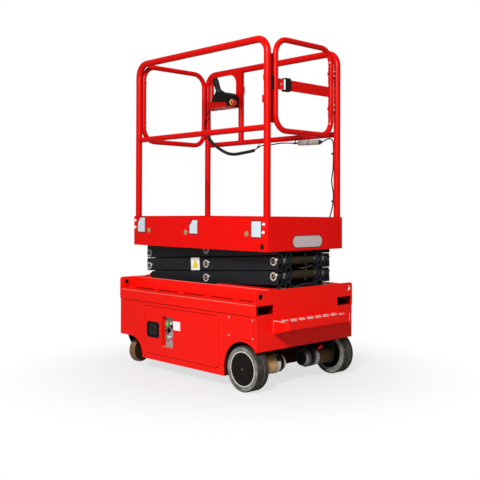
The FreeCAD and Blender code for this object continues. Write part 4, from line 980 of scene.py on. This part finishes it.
# Cable: the same route points as the source, in mm.
upper_route = [
    (-371.6, 190, 1584), (-396, 191, 1583), (-426, 200, 1568), (-460, 212, 1561), (-496, 221, 1543),
    (-512, 225, 1520), (-518, 226, 1494), (-517, 227, 1472), (-511, 232, 1440), (-505, 240, 1414),
]
wrap_route = [
    (-505, 240, 1414), (-490, 244, 1388), (-459, 247, 1357), (-426, 249, 1335), (-390, 252, 1314),
    (-352, 256, 1295), (-314, 260, 1283), (-264, 261, 1277), (-190, 260, 1283), (-135, 259, 1287),
    (-85, 257, 1293),
]
mid_route = [
    (-85, 257, 1293), (-60, 256, 1303), (-38, 254, 1315), (-5, 255, 1320), (35, 254, 1316),
    (80, 255, 1320), (130, 254, 1324), (185, 254, 1323), (240, 250, 1318), (290, 244, 1315),
]
lower_route = [
    (478, 246, 1311), (490, 248, 1315), (508, 253, 1325), (526, 260, 1329), (538, 268, 1319),
    (540.5, 272, 1298), (540, 273.5, 1265), (540.5, 272.5, 1225), (539, 272, 1180), (539.5, 271, 1150),
    (535, 268, 1120), (532, 267, 1092), (535, 269, 1060), (540, 272, 1030), (540.5, 272.5, 985),
    (538.5, 270, 955), (531, 266, 915), (521, 263, 880), (512, 262, 845), (505, 262, 815), (503, 262, 788.3),
]


def spline_length(curve):
    mesh = curve.to_mesh()
    place = [v.co for v in mesh.vertices]
    total = sum((place[e.vertices[0]] - place[e.vertices[1]]).length for e in mesh.edges)
    curve.to_mesh_clear()
    return total


def cable(name, node, route, r, mat, body="platform"):
    data = bpy.data.curves.new(name, "CURVE")
    data.dimensions = "3D"
    data.resolution_u = 12
    spline = data.splines.new("NURBS")
    spline.points.add(len(route) - 1)
    for p, q in zip(spline.points, route):
        p.co = (*at(*q), 1)
    spline.order_u = 3
    spline.use_endpoint_u = True
    obj = new_object(name, data)
    length = spline_length(obj)
    data.bevel_depth = r / 1000
    data.bevel_resolution = 6
    data.use_fill_caps = True
    data.materials.append(materials[mat])
    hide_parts(node)
    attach(obj, body)


lead_r, wrap_r = 3.5, 10.0
cable("control_lead_upper", "cable_upper", upper_route, lead_r, "cable")
cable("control_lead_wrap", "cable_wrap", wrap_route, wrap_r, "sheath")
cable("control_lead_middle", "cable_mid", mid_route, lead_r, "cable")
cable("control_lead_lower", "cable_lower", lower_route, lead_r, "cable")

# Clips under the middle rail and round the post.
clips = Build("cable_clips", "platform", bevel=0.2)
rail_under_z = 1337.0
for x, z in ((-43, 1312), (262, 1317)):
    clips.rod((x - 6, 254, z), (x + 6, 254, z), 6.5, "rubber", 16)
    clips.rod((x, 255, z), (x, 262, rail_under_z), 2.4, "rubber", 12)
for z in (1242, 976):
    turns = [2 * math.pi * j / 40 for j in range(40)]
    ring = [(552 + 20 * math.cos(t), 274 + 21.5 * math.sin(t), z + 2 * math.cos(t)) for t in turns]
    clips.tube(ring, 1.4, "rubber", 8, closed=True)
    clips.rod((537, 268, z - 5), (537, 268, z + 5), 6.0, "rubber", 16)

# The connector: ribbed grey sleeve between two black boots.
start, end = Vector(mid_route[-1]), Vector(lower_route[0])
run = (end - start).normalized()
for j in range(13):
    clips.hoop([(0, 13), (0, 14.6), (1.0, 15.4), (4.4, 15.4), (5.4, 14.6), (5.4, 13)],
               start + run * (17 + j * 12.4), run, "ribbed_grey", 40)
clips.turned([(-4, 4.6), (0, 6), (7, 10.4), (16.4, 12.6), (17, 10)], start, run, "rubber", 32)
clips.turned([(0, 10), (0.6, 12.6), (9, 10.4), (17, 6), (21, 4.6)], end - run * 17, run, "rubber", 32)
clips.done("black_plastic")

# Stage: a pale floor. For the camera it fades to white away from the object and keeps its shadow near it.
floor_mesh = bpy.data.meshes.new("studio_floor")
floor_mesh.from_pydata([(-14, -14, 0), (14, -14, 0), (14, 14, 0), (-14, 14, 0)], [], [(0, 1, 2, 3)])
floor = new_object("studio_floor", floor_mesh)
paper = Shader("studio_floor", (0.58, 0.58, 0.58), 0.9, spec=0.2)
grain = paper.node("TexNoise", {"Scale": 60}).outputs["Fac"]
dimples = paper.node("Bump", {"Strength": 0.03, "Height": grain})
feed(paper.bsdf, {"Normal": dimples.outputs["Normal"]})
white = paper.node("Emission", {"Color": plain_white, "Strength": 1.0})
distance = paper.node("VectorMath", {0: paper.place}, operation="LENGTH").outputs["Value"]
fade = paper.ramp(distance, 0.45, 1.45, 0.70, 1.0, interpolation_type="SMOOTHSTEP")
share = paper.times(fade, paper.node("LightPath").outputs["Is Camera Ray"])
blend = paper.node("MixShader", {0: share, 1: paper.bsdf.outputs[0], 2: white.outputs[0]})
feed(paper.tree.nodes["Material Output"], {"Surface": blend.outputs[0]})
floor_mesh.materials.append(paper.mat)

# Backdrop: plain white for the camera and through clear parts, and a soft even light on the object.
world = bpy.data.worlds.new("studio")
bpy.context.scene.world = world
world.use_nodes = True
sky = world.node_tree
sky.nodes.clear()
rays = new_node(sky, "LightPath", {})
seen_rays = {0: rays.outputs["Is Camera Ray"], 1: rays.outputs["Is Transmission Ray"]}
looked_at = new_node(sky, "Math", seen_rays, operation="MAXIMUM")
seen = new_node(sky, "Background", {"Color": plain_white, "Strength": 1.0})
lit = new_node(sky, "Background", {"Color": plain_white, "Strength": 0.29})
mix = new_node(sky, "MixShader", {0: looked_at.outputs[0], 1: lit.outputs[0], 2: seen.outputs[0]})
new_node(sky, "OutputWorld", {"Surface": mix.outputs[0]})

# One lamp, in metres and watts, high in front of the left side.
lamp_place, lamp_target, lamp_side, lamp_watts = Vector((2.8, -4.0, 3.4)), Vector((0, 0, 0.8)), 0.8, 325
lamp = bpy.data.lights.new("key", "AREA")
lamp.shape = "RECTANGLE"
lamp.size, lamp.size_y = lamp_side, lamp_side
lamp.energy = lamp_watts
lamp_object = new_object("key", lamp)
lamp_object.location = lamp_place
lamp_object.rotation_euler = (lamp_target - lamp_place).to_track_quat("-Z", "Y").to_euler()

# The photo's camera: it looks along yaw and pitch, and rolls about that line.
flat_way = Vector((-math.sin(cam_yaw), math.cos(cam_yaw), 0))
looking = flat_way * math.cos(cam_pitch) + Vector((0, 0, math.sin(cam_pitch)))
level_right = looking.cross(Vector((0, 0, 1))).normalized()
level_up = level_right.cross(looking)
right = level_right * math.cos(cam_roll) + level_up * math.sin(cam_roll)
up = level_up * math.cos(cam_roll) - level_right * math.sin(cam_roll)
cam_data = bpy.data.cameras.new("photo_camera")
cam = new_object("photo_camera", cam_data)
cam.matrix_world = Matrix.Translation(cam_place) @ Matrix((right, up, -looking)).transposed().to_4x4()
cam_data.sensor_width = 36.0
cam_data.lens = cam_data.sensor_width * focal_px / photo_px
cam_data.shift_x = -(centre_px - photo_px / 2) / photo_px
cam_data.shift_y = (centre_py - photo_px / 2) / photo_px
cam_data.clip_start, cam_data.clip_end = 0.05, 100
bpy.context.scene.camera = cam
bpy.context.scene.view_settings.view_transform = "Standard"
